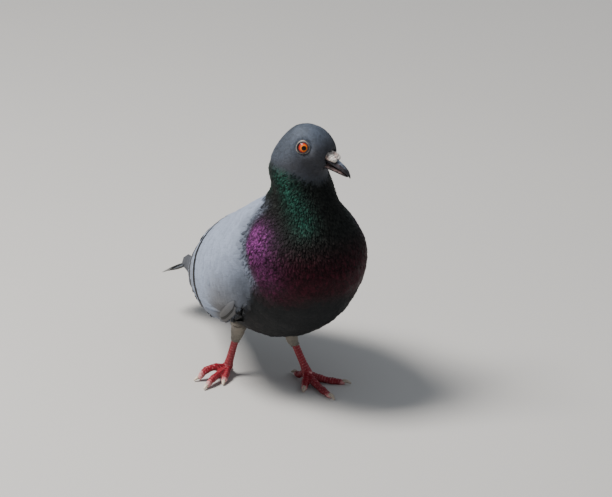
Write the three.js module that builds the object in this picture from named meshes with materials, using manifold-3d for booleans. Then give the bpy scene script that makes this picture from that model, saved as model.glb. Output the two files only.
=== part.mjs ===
// A life-size feral pigeon, walking, breast full, head turned to its left.
// Millimetres, +Z up. The bird faces -Y and its left side is +X. It stands on the plane z = 0.
// Each named part of the bird is one closed solid, and neighbours are parted by a thin gap.
import * as THREE from "three";
import { ParametricGeometry } from "three/addons/geometries/ParametricGeometry.js";
import { mergeVertices } from "three/addons/utils/BufferGeometryUtils.js";
import Module from "manifold-3d";

const wasm = await Module();
wasm.setup();

// ---- Driving dimensions ----------------------------------------------------------------------
const GAP = 0.3; // between neighbouring solids
const MIDDLE = { x: 0, y: 34.2 }; // middle of the whole bird's box, moved to the origin at the end
const HEAD_TURN = THREE.MathUtils.degToRad(32); // to the bird's left
const NECK_AXIS_Y = -40; // the head turns about a vertical line here
const TURN_STARTS_Z = 140; // the neck is untwisted below this
const TURN_ENDS_Z = 178; // and fully turned above this
const NECK_CUT_Z = 141; // trunk and neck part here, on a plane that rises to the back
const HEAD_CUT_Z = 168; // neck and head part here
const EYE_RADIUS = 5;
const EYE_AT = { x: 10.2, y: -48.2, z: 191 }; // in the unturned head
const TARSUS_RADIUS = 2.6;
const TOE_RADIUS = 2.85;
const CLAW_RADIUS = 1.7;
const FOOT_JOINT_Z = 7.5; // where the toes meet the shank
const SOLE = 0.5; // how much of a toe pad the floor flattens

const COLOURS = {
  slate: "#5b6068",
  neckGreen: "#2e4a44",
  head: "#5d6674",
  wingGrey: "#b4b8c0",
  flight: "#4e525b",
  tail: "#565c68",
  thigh: "#a3a09c",
  leg: "#b23a42",
  claw: "#3a3230",
  bill: "#3a3535",
  cere: "#e6ddd6",
  eye: "#d8541c",
};

// ---- Solids and meshes -----------------------------------------------------------------------
function solidOf(geometry) {
  const bare = geometry.clone();
  bare.deleteAttribute("normal");
  bare.deleteAttribute("uv");
  const merged = mergeVertices(bare, 1e-3);
  const corners = Array.from(merged.index.array);
  const outward = [];
  const inward = [];
  for (let i = 0; i < corners.length; i += 3) {
    const [a, b, c] = corners.slice(i, i + 3);
    if (a === b || b === c || a === c) continue;
    outward.push(a, b, c);
    inward.push(a, c, b);
  }
  const solidFrom = (triangles) =>
    new wasm.Manifold(
      new wasm.Mesh({
        numProp: 3,
        vertProperties: merged.attributes.position.array,
        triVerts: new Uint32Array(triangles),
      }),
    );
  const solid = solidFrom(outward);
  return solid.volume() > 0 ? solid : solidFrom(inward);
}

function geometryOf(solid) {
  const mesh = solid.getMesh();
  const places = new Float32Array(mesh.numVert * 3);
  for (let i = 0; i < mesh.numVert; i++)
    places.set(mesh.vertProperties.subarray(i * mesh.numProp, i * mesh.numProp + 3), i * 3);
  const geometry = new THREE.BufferGeometry();
  geometry.setAttribute("position", new THREE.BufferAttribute(places, 3));
  geometry.setIndex(new THREE.BufferAttribute(mesh.triVerts, 1));
  geometry.computeVertexNormals();
  return geometry;
}

const largest = (solid) =>
  solid.decompose().reduce((best, piece) => (piece.volume() > best.volume() ? piece : best));

const less = (solid, ...cutters) => cutters.reduce((left, cutter) => left.subtract(cutter), solid);

const bird = new THREE.Group();

function addPart(name, solid, colour, roughness = 0.85) {
  const material = new THREE.MeshStandardMaterial({ color: colour, roughness, metalness: 0 });
  const mesh = new THREE.Mesh(geometryOf(largest(solid)), material);
  mesh.name = name;
  bird.add(mesh);
}

// A slab or half-space: a large box whose lower face passes through a point, facing along a direction.
function halfSpace(point, facing) {
  const size = 600;
  const box = new THREE.BoxGeometry(size, size, size).translate(0, 0, size / 2);
  const turn = new THREE.Quaternion().setFromUnitVectors(
    new THREE.Vector3(0, 0, 1),
    facing.clone().normalize(),
  );
  return solidOf(box.applyQuaternion(turn).translate(point.x, point.y, point.z));
}

// Parts a solid by a plane into the side that the direction points to and the other, a gap apart.
function parted(solid, point, direction) {
  const half = direction.clone().normalize().multiplyScalar(GAP / 2);
  const ahead = solid.intersect(halfSpace(point.clone().add(half), direction));
  const behind = solid.intersect(halfSpace(point.clone().sub(half), direction.clone().negate()));
  return [ahead, behind];
}

// ---- Lofts along the bird's midline ----------------------------------------------------------
// A station is a section across the midline: its top and bottom points as [y, z], its half width,
// and how far up the section it is widest, from 0 at the bottom to 1 at the top.
function loft(stations, around, along, { grow = 0, shape = (p) => p, exponent = 1 } = {}) {
  const curve = (pick) =>
    new THREE.CatmullRomCurve3(stations.map(pick), false, "catmullrom", 0.5);
  const tops = curve(([top]) => new THREE.Vector3(0, ...top));
  const bottoms = curve(([, bottom]) => new THREE.Vector3(0, ...bottom));
  const sizes = curve(([, , half, widest = 0.5]) => new THREE.Vector3(half, widest, 0));
  const place = (u, v, target) => {
    const top = tops.getPoint(v);
    const bottom = bottoms.getPoint(v);
    const { x: half, y: widest } = sizes.getPoint(v);
    const angle = 2 * Math.PI * u;
    const [side, rise] = [Math.cos(angle), Math.sin(angle)];
    const across = Math.sign(side) * Math.abs(side) ** exponent;
    const up = top.clone().sub(bottom);
    const height = up.length();
    if (height > 1e-6) up.normalize();
    const grown = height > 1e-6 || half > 1e-6 ? grow : 0;
    const reach = rise > 0 ? (1 - widest) * height + grown : widest * height + grown;
    target.copy(bottom).addScaledVector(up, widest * height + rise * reach);
    target.x = across * Math.max(half + grown, 0);
    shape(target);
  };
  return solidOf(new ParametricGeometry(place, around, along));
}

// Turns what is above the neck to the bird's left, a twist that grows up the neck.
function turned(point) {
  const t = THREE.MathUtils.smootherstep(point.z, TURN_STARTS_Z, TURN_ENDS_Z);
  const angle = HEAD_TURN * t;
  const [x, y] = [point.x, point.y - NECK_AXIS_Y];
  point.x = x * Math.cos(angle) - y * Math.sin(angle);
  point.y = x * Math.sin(angle) + y * Math.cos(angle) + NECK_AXIS_Y;
  return point;
}

const BODY_STATIONS = [
  [[103, 56], [103, 56], 0],
  [[92, 70], [88, 51.5], 14, 0.5],
  [[72, 87.5], [67, 46], 26, 0.5],
  [[45, 107.5], [42, 40.5], 36.5, 0.47],
  [[16, 125], [13, 38], 42.5, 0.45],
  [[-5, 135.5], [-20, 40], 44.5, 0.46],
  [[-12.5, 144.5], [-57, 60], 44.6, 0.48],
  [[-15.5, 151.5], [-79.5, 91.5], 41.2, 0.43],
  [[-17, 158], [-80.3, 115.5], 31.2, 0.3],
  [[-15.8, 163.5], [-70, 137], 22, 0.38],
  [[-15.2, 169.5], [-63.4, 150.5], 21.2, 0.48],
  [[-16.6, 176.5], [-58.5, 161], 20.6, 0.5],
  [[-20.6, 185.5], [-56, 168.5], 18.6, 0.5],
  [[-28.4, 195.8], [-55.5, 172], 16.2, 0.48],
  [[-41.5, 203], [-56, 173], 14.6, 0.5],
  [[-54.3, 200.2], [-58, 174], 13, 0.5],
  [[-62, 190.5], [-61, 176], 8.3, 0.5],
  [[-64, 182], [-64, 182], 0],
];

const body = (grow) => loft(BODY_STATIONS, 20, 34, { grow, shape: turned });

// ---- Head parts --------------------------------------------------------------------------------
const UPPER_BILL = [
  [[-55, 183], [-55, 183], 0],
  [[-57, 186], [-57, 179.6], 4.2],
  [[-61, 185], [-61, 179], 4.1, 0.3],
  [[-66, 182.4], [-66, 177.1], 3.5, 0.25],
  [[-71, 179.2], [-71, 174.8], 2.7, 0.25],
  [[-75, 175.6], [-74.6, 172.6], 1.7, 0.3],
  [[-77, 171.5], [-76.4, 170.8], 0.7, 0.5],
  [[-77, 170.4], [-77, 170.4], 0],
];
const LOWER_BILL = [
  [[-54, 177], [-54, 177], 0],
  [[-57, 179.2], [-57, 174.6], 3.7, 0.6],
  [[-61, 178.6], [-61, 174], 3.5, 0.6],
  [[-66, 176.7], [-66, 172.9], 2.9, 0.6],
  [[-70.5, 174.6], [-70.5, 171.8], 2.0, 0.6],
  [[-74, 172.4], [-74, 171.2], 1.0, 0.6],
  [[-75.4, 171.4], [-75.4, 171.4], 0],
];

const upperBill = (grow) => loft(UPPER_BILL, 10, 10, { grow, shape: turned });
const lowerBill = (grow) => loft(LOWER_BILL, 10, 8, { grow, shape: turned });

function ellipsoid(centre, radii, grow = 0, shape = (p) => p, tilt = 0) {
  const geometry = new THREE.SphereGeometry(1, 10, 6);
  geometry.scale(radii.x + grow, radii.y + grow, radii.z + grow);
  geometry.rotateX(tilt);
  geometry.translate(centre.x, centre.y, centre.z);
  const places = geometry.attributes.position;
  const point = new THREE.Vector3();
  for (let i = 0; i < places.count; i++) {
    shape(point.fromBufferAttribute(places, i));
    places.setXYZ(i, point.x, point.y, point.z);
  }
  return solidOf(geometry);
}

// The two fleshy lobes over the nostrils.
function cere(grow) {
  const lobe = (side) =>
    ellipsoid(
      new THREE.Vector3(2.3 * side, -62.2, 183.8),
      new THREE.Vector3(3.3, 5.3, 2.3),
      grow,
      turned,
      THREE.MathUtils.degToRad(19),
    );
  return lobe(1).add(lobe(-1));
}

const eyeball = (side, grow) =>
  ellipsoid(
    new THREE.Vector3(EYE_AT.x * side, EYE_AT.y, EYE_AT.z),
    new THREE.Vector3(EYE_RADIUS, EYE_RADIUS, EYE_RADIUS),
    grow,
    turned,
  );

// ---- Wings -------------------------------------------------------------------------------------
// A folded wing is a thin shell over the body's side. Each station, from the bend of the wing to the
// tip, has its lower edge and its upper edge, how far it bulges between them, and its thickness.
const WING_STATIONS = [
  { low: [44.6, -40, 97], high: [44.6, -40, 97], bulge: 0, thick: 0 },
  { low: [43.6, -38, 80], high: [41.5, -34, 118], bulge: 3.5, thick: 5 },
  { low: [43.5, -30, 66], high: [30, -21, 137.5], bulge: 12.5, thick: 8 },
  { low: [45.5, -14, 57], high: [17, -11, 141.5], bulge: 19, thick: 8 },
  { low: [46.5, 8, 55], high: [9, 11, 130.6], bulge: 21, thick: 7.5 },
  { low: [44, 30, 56], high: [7, 36, 116.4], bulge: 18.5, thick: 6.5 },
  { low: [37, 54, 56], high: [6, 57, 101.5], bulge: 13, thick: 5 },
  { low: [26, 76, 55], high: [5, 77, 85.2], bulge: 7, thick: 3.6 },
  { low: [15, 93, 56], high: [5, 93, 71], bulge: 3, thick: 2.4 },
  { low: [8, 102, 60.5], high: [8, 102, 60.5], bulge: 0, thick: 0 },
];
const PRIMARY_STATIONS = [
  { low: [34, 46, 60], high: [32, 46, 66], bulge: 0, thick: 0 },
  { low: [33, 54, 55], high: [27, 56, 69], bulge: 2.5, thick: 3.5 },
  { low: [27.5, 74, 52], high: [18.5, 76, 66], bulge: 2.5, thick: 3.2 },
  { low: [20.5, 94, 51.5], high: [11.5, 95, 64.5], bulge: 2, thick: 2.4 },
  { low: [15.5, 112, 50.6], high: [8, 112, 58], bulge: 1, thick: 1.6 },
  { low: [10, 124, 49], high: [10, 124, 49], bulge: 0, thick: 0 },
];

function shell(stations, side, around, along, grow = 0) {
  const curve = (pick) =>
    new THREE.CatmullRomCurve3(stations.map(pick), false, "catmullrom", 0.5);
  const lows = curve((s) => new THREE.Vector3(...s.low));
  const highs = curve((s) => new THREE.Vector3(...s.high));
  const sizes = curve((s) => new THREE.Vector3(s.bulge, s.thick, 0));
  const lengthwise = new THREE.Vector3(0, 0.9, -0.42).normalize();
  const place = (u, v, target) => {
    const low = lows.getPoint(v);
    const high = highs.getPoint(v);
    const { x: bulge, y: thick } = sizes.getPoint(v);
    const outer = u < 0.5;
    const t = outer ? 2 * u : 2 - 2 * u;
    const chord = high.clone().sub(low);
    const out = new THREE.Vector3().crossVectors(chord, lengthwise);
    if (out.lengthSq() > 1e-9) out.normalize();
    if (out.x < 0) out.negate();
    const arch = Math.sin(Math.PI * t ** 0.85) ** 0.7;
    const wall = Math.sin(Math.PI * t) ** 0.5 * thick;
    const spread = thick > 1e-6 ? grow * Math.min(1, 5 * Math.sin(Math.PI * t)) : 0;
    target.copy(low).addScaledVector(chord, t);
    target.addScaledVector(out, Math.max(bulge, 0) * arch + (outer ? spread : -wall - spread));
    if (thick > 1e-6) target.addScaledVector(chord.normalize(), grow * (2 * t - 1) * 1.5);
    target.x *= side;
  };
  return solidOf(new ParametricGeometry(place, around, along));
}

// ---- Tail --------------------------------------------------------------------------------------
const TAIL_STATIONS = [
  [[66, 75], [66, 75], 0],
  [[72, 75.5], [72, 68.5], 9],
  [[88, 67], [87, 61], 15],
  [[107, 55.8], [106.5, 51.5], 18.5],
  [[125, 45.5], [124.7, 42.8], 21],
  [[138, 38.9], [137.8, 37.1], 22],
  [[145.5, 35], [145.4, 33.8], 19],
  [[149.5, 32.9], [149.5, 32.1], 11],
  [[150.5, 32.1], [150.5, 32.1], 0],
];
const TAIL_ARCH = 0.009; // the outer feathers lie this times x squared lower
const arched = (point) => {
  point.z -= TAIL_ARCH * point.x ** 2;
  return point;
};
const tail = (grow) => loft(TAIL_STATIONS, 12, 11, { grow, shape: arched, exponent: 0.8 });

// ---- Legs --------------------------------------------------------------------------------------
// A limb piece: a round tube along a smooth path, with flat ends. Its radius is a function of how
// far along it is, and its height over its width is the flatness.
function limb(points, radiusAt, around, along, flatness = 1) {
  const path = new THREE.CatmullRomCurve3(points, false, "centripetal");
  const middle = path.getTangent(0.5);
  const guide = new THREE.Vector3(0, 0, 1);
  if (Math.abs(middle.z) > 0.75) guide.set(0, 1, 0);
  const place = (u, v, target) => {
    const share = THREE.MathUtils.clamp((v * along - 1) / (along - 2), 0, 1);
    const tangent = path.getTangentAt(share);
    const side = new THREE.Vector3().crossVectors(tangent, guide).normalize();
    const rise = new THREE.Vector3().crossVectors(side, tangent).normalize();
    const angle = 2 * Math.PI * u;
    const radius = v === 0 || v === 1 ? 0 : radiusAt(share);
    target.copy(path.getPointAt(share));
    target.addScaledVector(side, Math.cos(angle) * radius);
    target.addScaledVector(rise, Math.sin(angle) * radius * flatness);
  };
  return solidOf(new ParametricGeometry(place, around, along));
}

// Narrows both ends of a limb, over a share of its length.
function blunted(share, reach) {
  const inward = Math.min(share, 1 - share) / reach;
  return inward < 1 ? 0.6 + 0.4 * Math.sqrt(inward * (2 - inward)) : 1;
}

// Each toe has the way it points, in degrees to the bird's left of straight ahead, how high it arches
// before it comes down to the floor, and the share of its length that it still reaches.
const LEGS = {
  left: {
    knee: [19, -8, 60],
    hock: [10, -1.5, 34],
    foot: [17, -13, FOOT_JOINT_Z],
    toes: { hind: [189, 0, 1], inner: [-34, 0.5, 0.95], middle: [1, 0, 1], outer: [50, 0, 1] },
  },
  right: {
    knee: [-26, 2, 62],
    hock: [-20.5, 17.5, 36],
    foot: [-27, 21.5, FOOT_JOINT_Z],
    toes: { hind: [152, 0, 1], inner: [-38, 2, 0.82], middle: [-60, 3, 0.78], outer: [-93, 6, 0.82] },
  },
};
const TOES = {
  hind: { length: 13.5, claw: 3.8, knuckles: 1 },
  inner: { length: 18.5, claw: 3.8, knuckles: 2 },
  middle: { length: 34.5, claw: 4.6, knuckles: 3 },
  outer: { length: 27, claw: 4.4, knuckles: 3 },
};

const vec = (list) => new THREE.Vector3(...list);
const ground = halfSpace(vec([0, 0, 0]), vec([0, 0, -1]));

function toeDirection(degrees) {
  const angle = THREE.MathUtils.degToRad(degrees);
  return new THREE.Vector3(Math.sin(angle), -Math.cos(angle), 0);
}

const along = (foot, direction, distance, height) =>
  foot.clone().setZ(height).addScaledVector(direction, distance);

function toe(foot, [heading, arch, share], size, grow = 0) {
  const direction = toeDirection(heading);
  const length = size.length * share;
  const low = TOE_RADIUS * 0.8 - SOLE;
  const path = [
    along(foot, direction, 1, foot.z - 1),
    along(foot, direction, 5, foot.z - 3 + arch * 0.5),
    along(foot, direction, length * 0.5, low + 0.6 + arch),
    along(foot, direction, length * 0.8, low + arch * 0.8),
    along(foot, direction, length, low - 0.1),
  ];
  const radius = (at) => {
    const pad = 0.1 * Math.cos(2 * Math.PI * size.knuckles * at);
    return TOE_RADIUS * (1.04 - 0.2 * at + pad) * blunted(at, 0.12) + grow;
  };
  return limb(path, radius, 6, 2 * size.knuckles + 5, 0.92);
}

function claw(foot, [heading, , share], size) {
  const direction = toeDirection(heading);
  const length = size.length * share;
  const reach = size.claw * share;
  const path = [
    along(foot, direction, length - 1.2, 2.6),
    along(foot, direction, length + reach * 0.5, 2.5),
    along(foot, direction, length + reach, 1.2),
  ];
  return limb(path, (share) => Math.max(0.5, CLAW_RADIUS * (1 - 0.6 * share)), 5, 4);
}

// The thigh's feathers taper over the knee and the hock, and end round the top of the bare shank.
function thigh(leg, grow = 0) {
  const [knee, hock, foot] = [vec(leg.knee), vec(leg.hock), vec(leg.foot)];
  const end = hock.clone().lerp(foot, 0.38);
  const radius = (share) => THREE.MathUtils.lerp(13, 3.6, share ** 0.62) + grow;
  return limb([knee, knee.clone().lerp(hock, 0.55), hock, end], radius, 12, 8);
}

function shank(leg, grow = 0) {
  const [hock, foot] = [vec(leg.hock), vec(leg.foot)];
  const radius = (share) => TARSUS_RADIUS * (1 + 0.35 * share ** 6) + grow;
  const bone = limb([hock.clone().lerp(foot, 0.2), foot], radius, 8, 6);
  return bone.add(ellipsoid(foot, vec([3.7, 3.7, 3.2]), grow));
}

// ---- Assembly ----------------------------------------------------------------------------------
const sides = { left: 1, right: -1 };
const wing = (side, grow = 0) => shell(WING_STATIONS, side, 16, 16, grow);
const primaries = (side, grow = 0) => shell(PRIMARY_STATIONS, side, 8, 8, grow);

// Room for a piece and the gap round it, to cut from its neighbours.
const roomFor = (make, ...which) => make(...which, 0).add(make(...which, GAP));

const room = { tail: roomFor(tail), cere: roomFor(cere) };
room.bills = roomFor(upperBill).add(roomFor(lowerBill));
for (const [name, side] of Object.entries(sides)) {
  room[`wing_${name}`] = roomFor(wing, side);
  room[`primaries_${name}`] = roomFor(primaries, side);
  room[`eye_${name}`] = roomFor(eyeball, side);
}

const flesh = less(body(0), ...Object.values(room));
const [aboveTrunk, trunk] = parted(
  flesh,
  new THREE.Vector3(0, -48, NECK_CUT_Z),
  new THREE.Vector3(0, -0.45, 1),
);
const [head, neck] = parted(
  aboveTrunk,
  turned(new THREE.Vector3(0, -40, HEAD_CUT_Z)),
  new THREE.Vector3(0.2, -0.33, 1),
);
const upperRoom = roomFor(upperBill);

addPart("trunk", trunk, COLOURS.slate);
addPart("neck", neck, COLOURS.neckGreen, 0.55);
addPart("head", head, COLOURS.head);
addPart("bill_upper", upperBill(0), COLOURS.bill, 0.5);
addPart("bill_lower", less(lowerBill(0), upperRoom), COLOURS.bill, 0.5);
addPart("cere", less(cere(0), upperRoom), COLOURS.cere, 0.9);

const wingRooms = ["wing_left", "wing_right", "primaries_left", "primaries_right"];
addPart("tail", less(tail(0), ...wingRooms.map((name) => room[name])), COLOURS.tail);

const COVERTS_END = new THREE.Vector3(0, 22, 95); // on the line where coverts meet flight feathers
const COVERTS_FACE = new THREE.Vector3(0, -1, 0.55);
for (const [name, side] of Object.entries(sides)) {
  const [coverts, secondaries] = parted(wing(side), COVERTS_END, COVERTS_FACE);
  const hand = less(primaries(side), room[`wing_${name}`]);
  addPart(`eye_${name}`, eyeball(side, 0), COLOURS.eye, 0.08);
  addPart(`wing_coverts_${name}`, coverts, COLOURS.wingGrey);
  addPart(`wing_secondaries_${name}`, secondaries, COLOURS.wingGrey);
  addPart(`wing_primaries_${name}`, hand, COLOURS.flight);
}

const bodyRoom = body(0).add(body(GAP));
for (const [name, leg] of Object.entries(LEGS)) {
  const foot = vec(leg.foot);
  const shankRoom = roomFor(shank, leg);
  const above = [bodyRoom, room[`wing_${name}`], room[`primaries_${name}`], shankRoom];
  addPart(`thigh_${name}`, less(thigh(leg), ...above), COLOURS.thigh);
  addPart(`shank_${name}`, less(shank(leg), ground), COLOURS.leg, 0.6);
  const taken = [shankRoom];
  for (const [toeName, size] of Object.entries(TOES)) {
    const aim = leg.toes[toeName];
    const bare = less(toe(foot, aim, size), ground, ...taken);
    addPart(`toe_${toeName}_${name}`, bare, COLOURS.leg, 0.6);
    const toeRoom = roomFor(toe, foot, aim, size);
    taken.push(toeRoom);
    const nail = less(claw(foot, aim, size), ground, toeRoom);
    addPart(`claw_${toeName}_${name}`, nail, COLOURS.claw, 0.4);
  }
}

bird.position.set(-MIDDLE.x, -MIDDLE.y, 0);

export default bird;
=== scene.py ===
"""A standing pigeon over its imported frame: skin, feathers, eyes, bill and feet, and a plain studio."""

import math

import bmesh
import bpy
import numpy as np
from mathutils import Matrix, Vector, noise
from mathutils.bvhtree import BVHTree


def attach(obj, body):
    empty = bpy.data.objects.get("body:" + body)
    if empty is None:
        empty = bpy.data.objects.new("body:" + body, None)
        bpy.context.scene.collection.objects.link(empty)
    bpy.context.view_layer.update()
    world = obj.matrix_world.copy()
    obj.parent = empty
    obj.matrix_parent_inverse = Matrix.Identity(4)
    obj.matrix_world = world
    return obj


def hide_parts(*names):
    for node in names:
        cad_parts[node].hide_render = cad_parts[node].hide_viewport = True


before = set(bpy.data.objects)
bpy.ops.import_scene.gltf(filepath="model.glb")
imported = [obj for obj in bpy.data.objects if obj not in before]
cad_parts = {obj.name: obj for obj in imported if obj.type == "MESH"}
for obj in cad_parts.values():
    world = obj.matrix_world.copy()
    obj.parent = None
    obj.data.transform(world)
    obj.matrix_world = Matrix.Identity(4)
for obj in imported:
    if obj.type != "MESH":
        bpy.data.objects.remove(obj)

bl_info = {
    "name": "Standing Pigeon",
    "version": (1, 0, 0),
    "blender": (4, 5, 0),
    "location": "View3D > Sidebar > Pigeon",
    "description": "Builds a pigeon's skin, feathers, eyes, bill and feet over its frame",
    "category": "Add Mesh",
}

# ---------------------------------------------------------------- places, in the bird's own millimetres

MM = 0.001
MIDDLE = np.array([0.0, 34.2, 0.0])  # the frame's origin, in millimetres from under the bird's chest
SIDES = {"left": 1, "right": -1}
HEAD_TURN = math.radians(32)  # to the bird's left
NECK_AXIS_Y = -40.0  # the head turns about an upright line here
TURN_STARTS_Z = 140.0
TURN_ENDS_Z = 178.0
BILL_ROOT = np.array([0.0, -60.0, 181.0])  # in the unturned head, as the next two are
EYE_CENTRE = np.array([10.5, -46.4, 190.8])
GAZE = np.array([0.84, -0.5, 0.18])
RING_AXIS = np.array([0.955, -0.262, 0.255])
RIM_HEIGHT = 2.35  # of the skin at the eye ring's rim, out from the eye's centre
EYEBALL_RADIUS = 4.8
FAN_APEX = np.array([118.0, 52.0])  # the y and z that the wing's feathers point to
ROW_SLOPE = 0.55  # a row of wing feathers lies this much further back for each millimetre of height
ROW_HEIGHT = 95.0
FRONT_BAR = 30.0  # where each bar starts along the back, at ROW_HEIGHT
REAR_BAR = 54.0
FRONT_BAR_WIDTH = 5.0
REAR_BAR_WIDTH = 11.0
BAR_BEND = 9.0  # how far back the rear bar bends at the top of the wing
SKY = 200.0  # a height over the tail and the rump
TAIL_HEIGHT = 40.0  # a height just under them


def in_frame(points):
    """Points in the bird's own millimetres, in the frame's metres."""
    return (np.asarray(points, float) - MIDDLE) * MM


def in_bird(points):
    """Points in the frame's metres, in the bird's own millimetres."""
    return np.asarray(points, float) / MM + MIDDLE


def ramp(value, low, high):
    """0 at low, 1 at high and an even curve between them."""
    share = np.clip((value - low) / (high - low), 0, 1)
    return share * share * (3 - 2 * share)


def unit(vectors):
    """Vectors of length 1."""
    return vectors / np.maximum(np.linalg.norm(vectors, axis=-1, keepdims=True), 1e-9)


def without(vectors, direction):
    """Vectors less their part along a direction of length 1."""
    return vectors - direction * (vectors * direction).sum(1)[:, None]


def blended(a, b, share):
    """Values or colours between a and b, by a share from 0 to 1."""
    return a + (b - a) * np.asarray(share)[..., None]


def rotated(points, angle):
    """Points turned by an angle, or one angle each, about the neck's upright line."""
    x = points[..., 0]
    y = points[..., 1] - NECK_AXIS_Y
    cosine = np.cos(angle)
    sine = np.sin(angle)
    return np.stack([x * cosine - y * sine, x * sine + y * cosine + NECK_AXIS_Y, points[..., 2]], -1)


def turn_at(height):
    """How far the neck is turned at a height."""
    share = np.clip((height - TURN_STARTS_Z) / (TURN_ENDS_Z - TURN_STARTS_Z), 0, 1)
    return HEAD_TURN * share**3 * (share * (share * 6 - 15) + 10)


def turned(points):
    """Places of the straight bird, carried round by the neck's turn."""
    return rotated(points, turn_at(points[..., 2]))


def unturned(points):
    """Places of the turned bird, on the straight one."""
    return rotated(points, -turn_at(points[..., 2]))


def turned_directions(points, directions):
    """Directions at places of the straight bird, carried round by the neck's turn."""
    axis = [0, NECK_AXIS_Y, 0]
    return rotated(directions + axis, turn_at(points[..., 2])) - axis


def on_left(points):
    """Places mirrored onto the bird's left side."""
    return np.abs(points) * [1, 0, 0] + points * [0, 1, 1]


def eye_distance(own):
    """How far each place of the unturned head lies from the centre of the eye on its side."""
    return np.linalg.norm(on_left(own) - EYE_CENTRE, axis=1)


def feather_row(points):
    """The row of wing feathers that each place lies in, as if the rows were straight."""
    return points[..., 1] - ROW_SLOPE * (points[..., 2] - ROW_HEIGHT)


def curve_at(stations, share):
    """A smooth curve through evenly spaced stations, at shares of its length from 0 to 1."""
    points = np.asarray(stations, float)
    share = np.clip(np.asarray(share, float), 0, 1) * (len(points) - 1)
    first = np.minimum(share.astype(int), len(points) - 2)
    t = (share - first)[..., None]
    before = 2 * points[0] - points[1]
    after = 2 * points[-1] - points[-2]
    padded = np.concatenate([[before], points, [after]])
    a, b, c, d = (padded[first + k] for k in range(4))
    return 0.5 * (2 * b + (c - a) * t + (2 * a - 5 * b + 4 * c - d) * t**2 + (3 * b - a - 3 * c + d) * t**3)


# ---------------------------------------------------------------- meshes


def fresh_object(name, mesh):
    """A new object of a mesh, in the scene."""
    made = bpy.data.objects.new(name, mesh)
    mesh.name = name
    bpy.context.scene.collection.objects.link(made)
    return made


def plain(made):
    """Turns an object's modifiers into its mesh."""
    evaluated = made.evaluated_get(bpy.context.evaluated_depsgraph_get())
    result = bpy.data.meshes.new_from_object(evaluated)
    made.modifiers.clear()
    old = made.data
    made.data = result
    result.name = made.name
    bpy.data.meshes.remove(old)
    return made


def joined_nodes(names):
    """A merged copy of the frame's nodes, as one bmesh."""
    copy = bmesh.new()
    for name in names:
        copy.from_mesh(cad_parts[name].data)
    bmesh.ops.remove_doubles(copy, verts=copy.verts, dist=1e-6)
    copy.normal_update()
    return copy


def refined(name, nodes, voxel, rounds, grow=0.0, extra=None):
    """One smooth closed skin round the frame's nodes and an extra mesh; sizes in millimetres."""
    copy = joined_nodes(nodes)
    if extra:
        copy.from_mesh(extra)
    mesh = bpy.data.meshes.new(name)
    copy.to_mesh(mesh)
    copy.free()
    made = fresh_object(name, mesh)
    if grow:
        swell = made.modifiers.new("Swell", "DISPLACE")
        swell.strength = grow * MM
        swell.mid_level = 0
    remesh = made.modifiers.new("Remesh", "REMESH")
    remesh.mode = "VOXEL"
    remesh.voxel_size = voxel * MM
    remesh.use_smooth_shade = True
    even = made.modifiers.new("Even", "SMOOTH")
    even.factor = 0.5
    even.iterations = rounds
    return plain(made)


def places(mesh):
    """A mesh's points in the bird's own millimetres."""
    flat = np.empty(len(mesh.vertices) * 3, np.float32)
    mesh.vertices.foreach_get("co", flat)
    return in_bird(flat.reshape(-1, 3).astype(float))


def set_places(mesh, points):
    """Moves a mesh's points to places in the bird's own millimetres."""
    mesh.vertices.foreach_set("co", in_frame(points).astype(np.float32).ravel())
    mesh.update()


def normals(mesh):
    """The outward direction at each of a mesh's points."""
    flat = np.empty(len(mesh.vertices) * 3, np.float32)
    mesh.vertex_normals.foreach_get("vector", flat)
    return flat.reshape(-1, 3).astype(float)


def surface_of(*names):
    """A tree of the frame's nodes that finds nearest places and struck ones, in metres."""
    copy = joined_nodes(names)
    found = BVHTree.FromBMesh(copy)
    copy.free()
    return found


def distance_to(points, *names):
    """How far each place lies from the frame's nodes, in millimetres."""
    surface = surface_of(*names)
    return np.array([surface.find_nearest(place)[3] for place in in_frame(points)]) / MM


def height_over(surface, x, y):
    """Height of a surface's upper side at each x and y, or of its nearest point past its edge."""
    heights = []
    for over in np.stack([x, y, 0 * y], 1):
        struck = surface.ray_cast(Vector(in_frame(over + [0, 0, SKY])), Vector((0, 0, -1)))[0]
        if struck is None:
            struck = surface.find_nearest(Vector(in_frame(over + [0, 0, TAIL_HEIGHT])))[0]
        heights.append(in_bird(np.array(struck))[2])
    return np.array(heights)


def note(mesh, name, values, kind="FLOAT"):
    """Stores a value for each of a mesh's points under a name."""
    layer = mesh.attributes.get(name) or mesh.attributes.new(name, kind, "POINT")
    values = np.asarray(values, np.float32)
    if kind == "FLOAT_COLOR":
        values = np.concatenate([values, np.ones((len(values), 1), np.float32)], 1)
        layer.data.foreach_set("color", values.ravel())
    elif kind == "FLOAT_VECTOR":
        layer.data.foreach_set("vector", values.ravel())
    else:
        layer.data.foreach_set("value", values)


def smooth_faces(mesh):
    """Shades every face smoothly."""
    mesh.polygons.foreach_set("use_smooth", np.ones(len(mesh.polygons), bool))


def sharpen(mesh, on_rim):
    """Shades a thin feather's two sides apart, by a sharp edge between each two points of its rim."""
    rim = [on_rim[edge.vertices[0]] and on_rim[edge.vertices[1]] for edge in mesh.edges]
    mesh.attributes.new("sharp_edge", "BOOLEAN", "EDGE").data.foreach_set("value", rim)


def unwrapped(made):
    """Gives an object the map that its finish is kept on, an unwrap of its own shape."""
    bpy.ops.object.select_all(action="DESELECT")
    made.select_set(True)
    bpy.context.view_layer.objects.active = made
    for layer in list(made.data.uv_layers):
        made.data.uv_layers.remove(layer)
    made.data.uv_layers.new(name="OFBake")
    bpy.ops.object.mode_set(mode="EDIT")
    bpy.ops.mesh.select_all(action="SELECT")
    bpy.ops.uv.smart_project(angle_limit=1.15, island_margin=0.002)
    bpy.ops.object.mode_set(mode="OBJECT")


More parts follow.
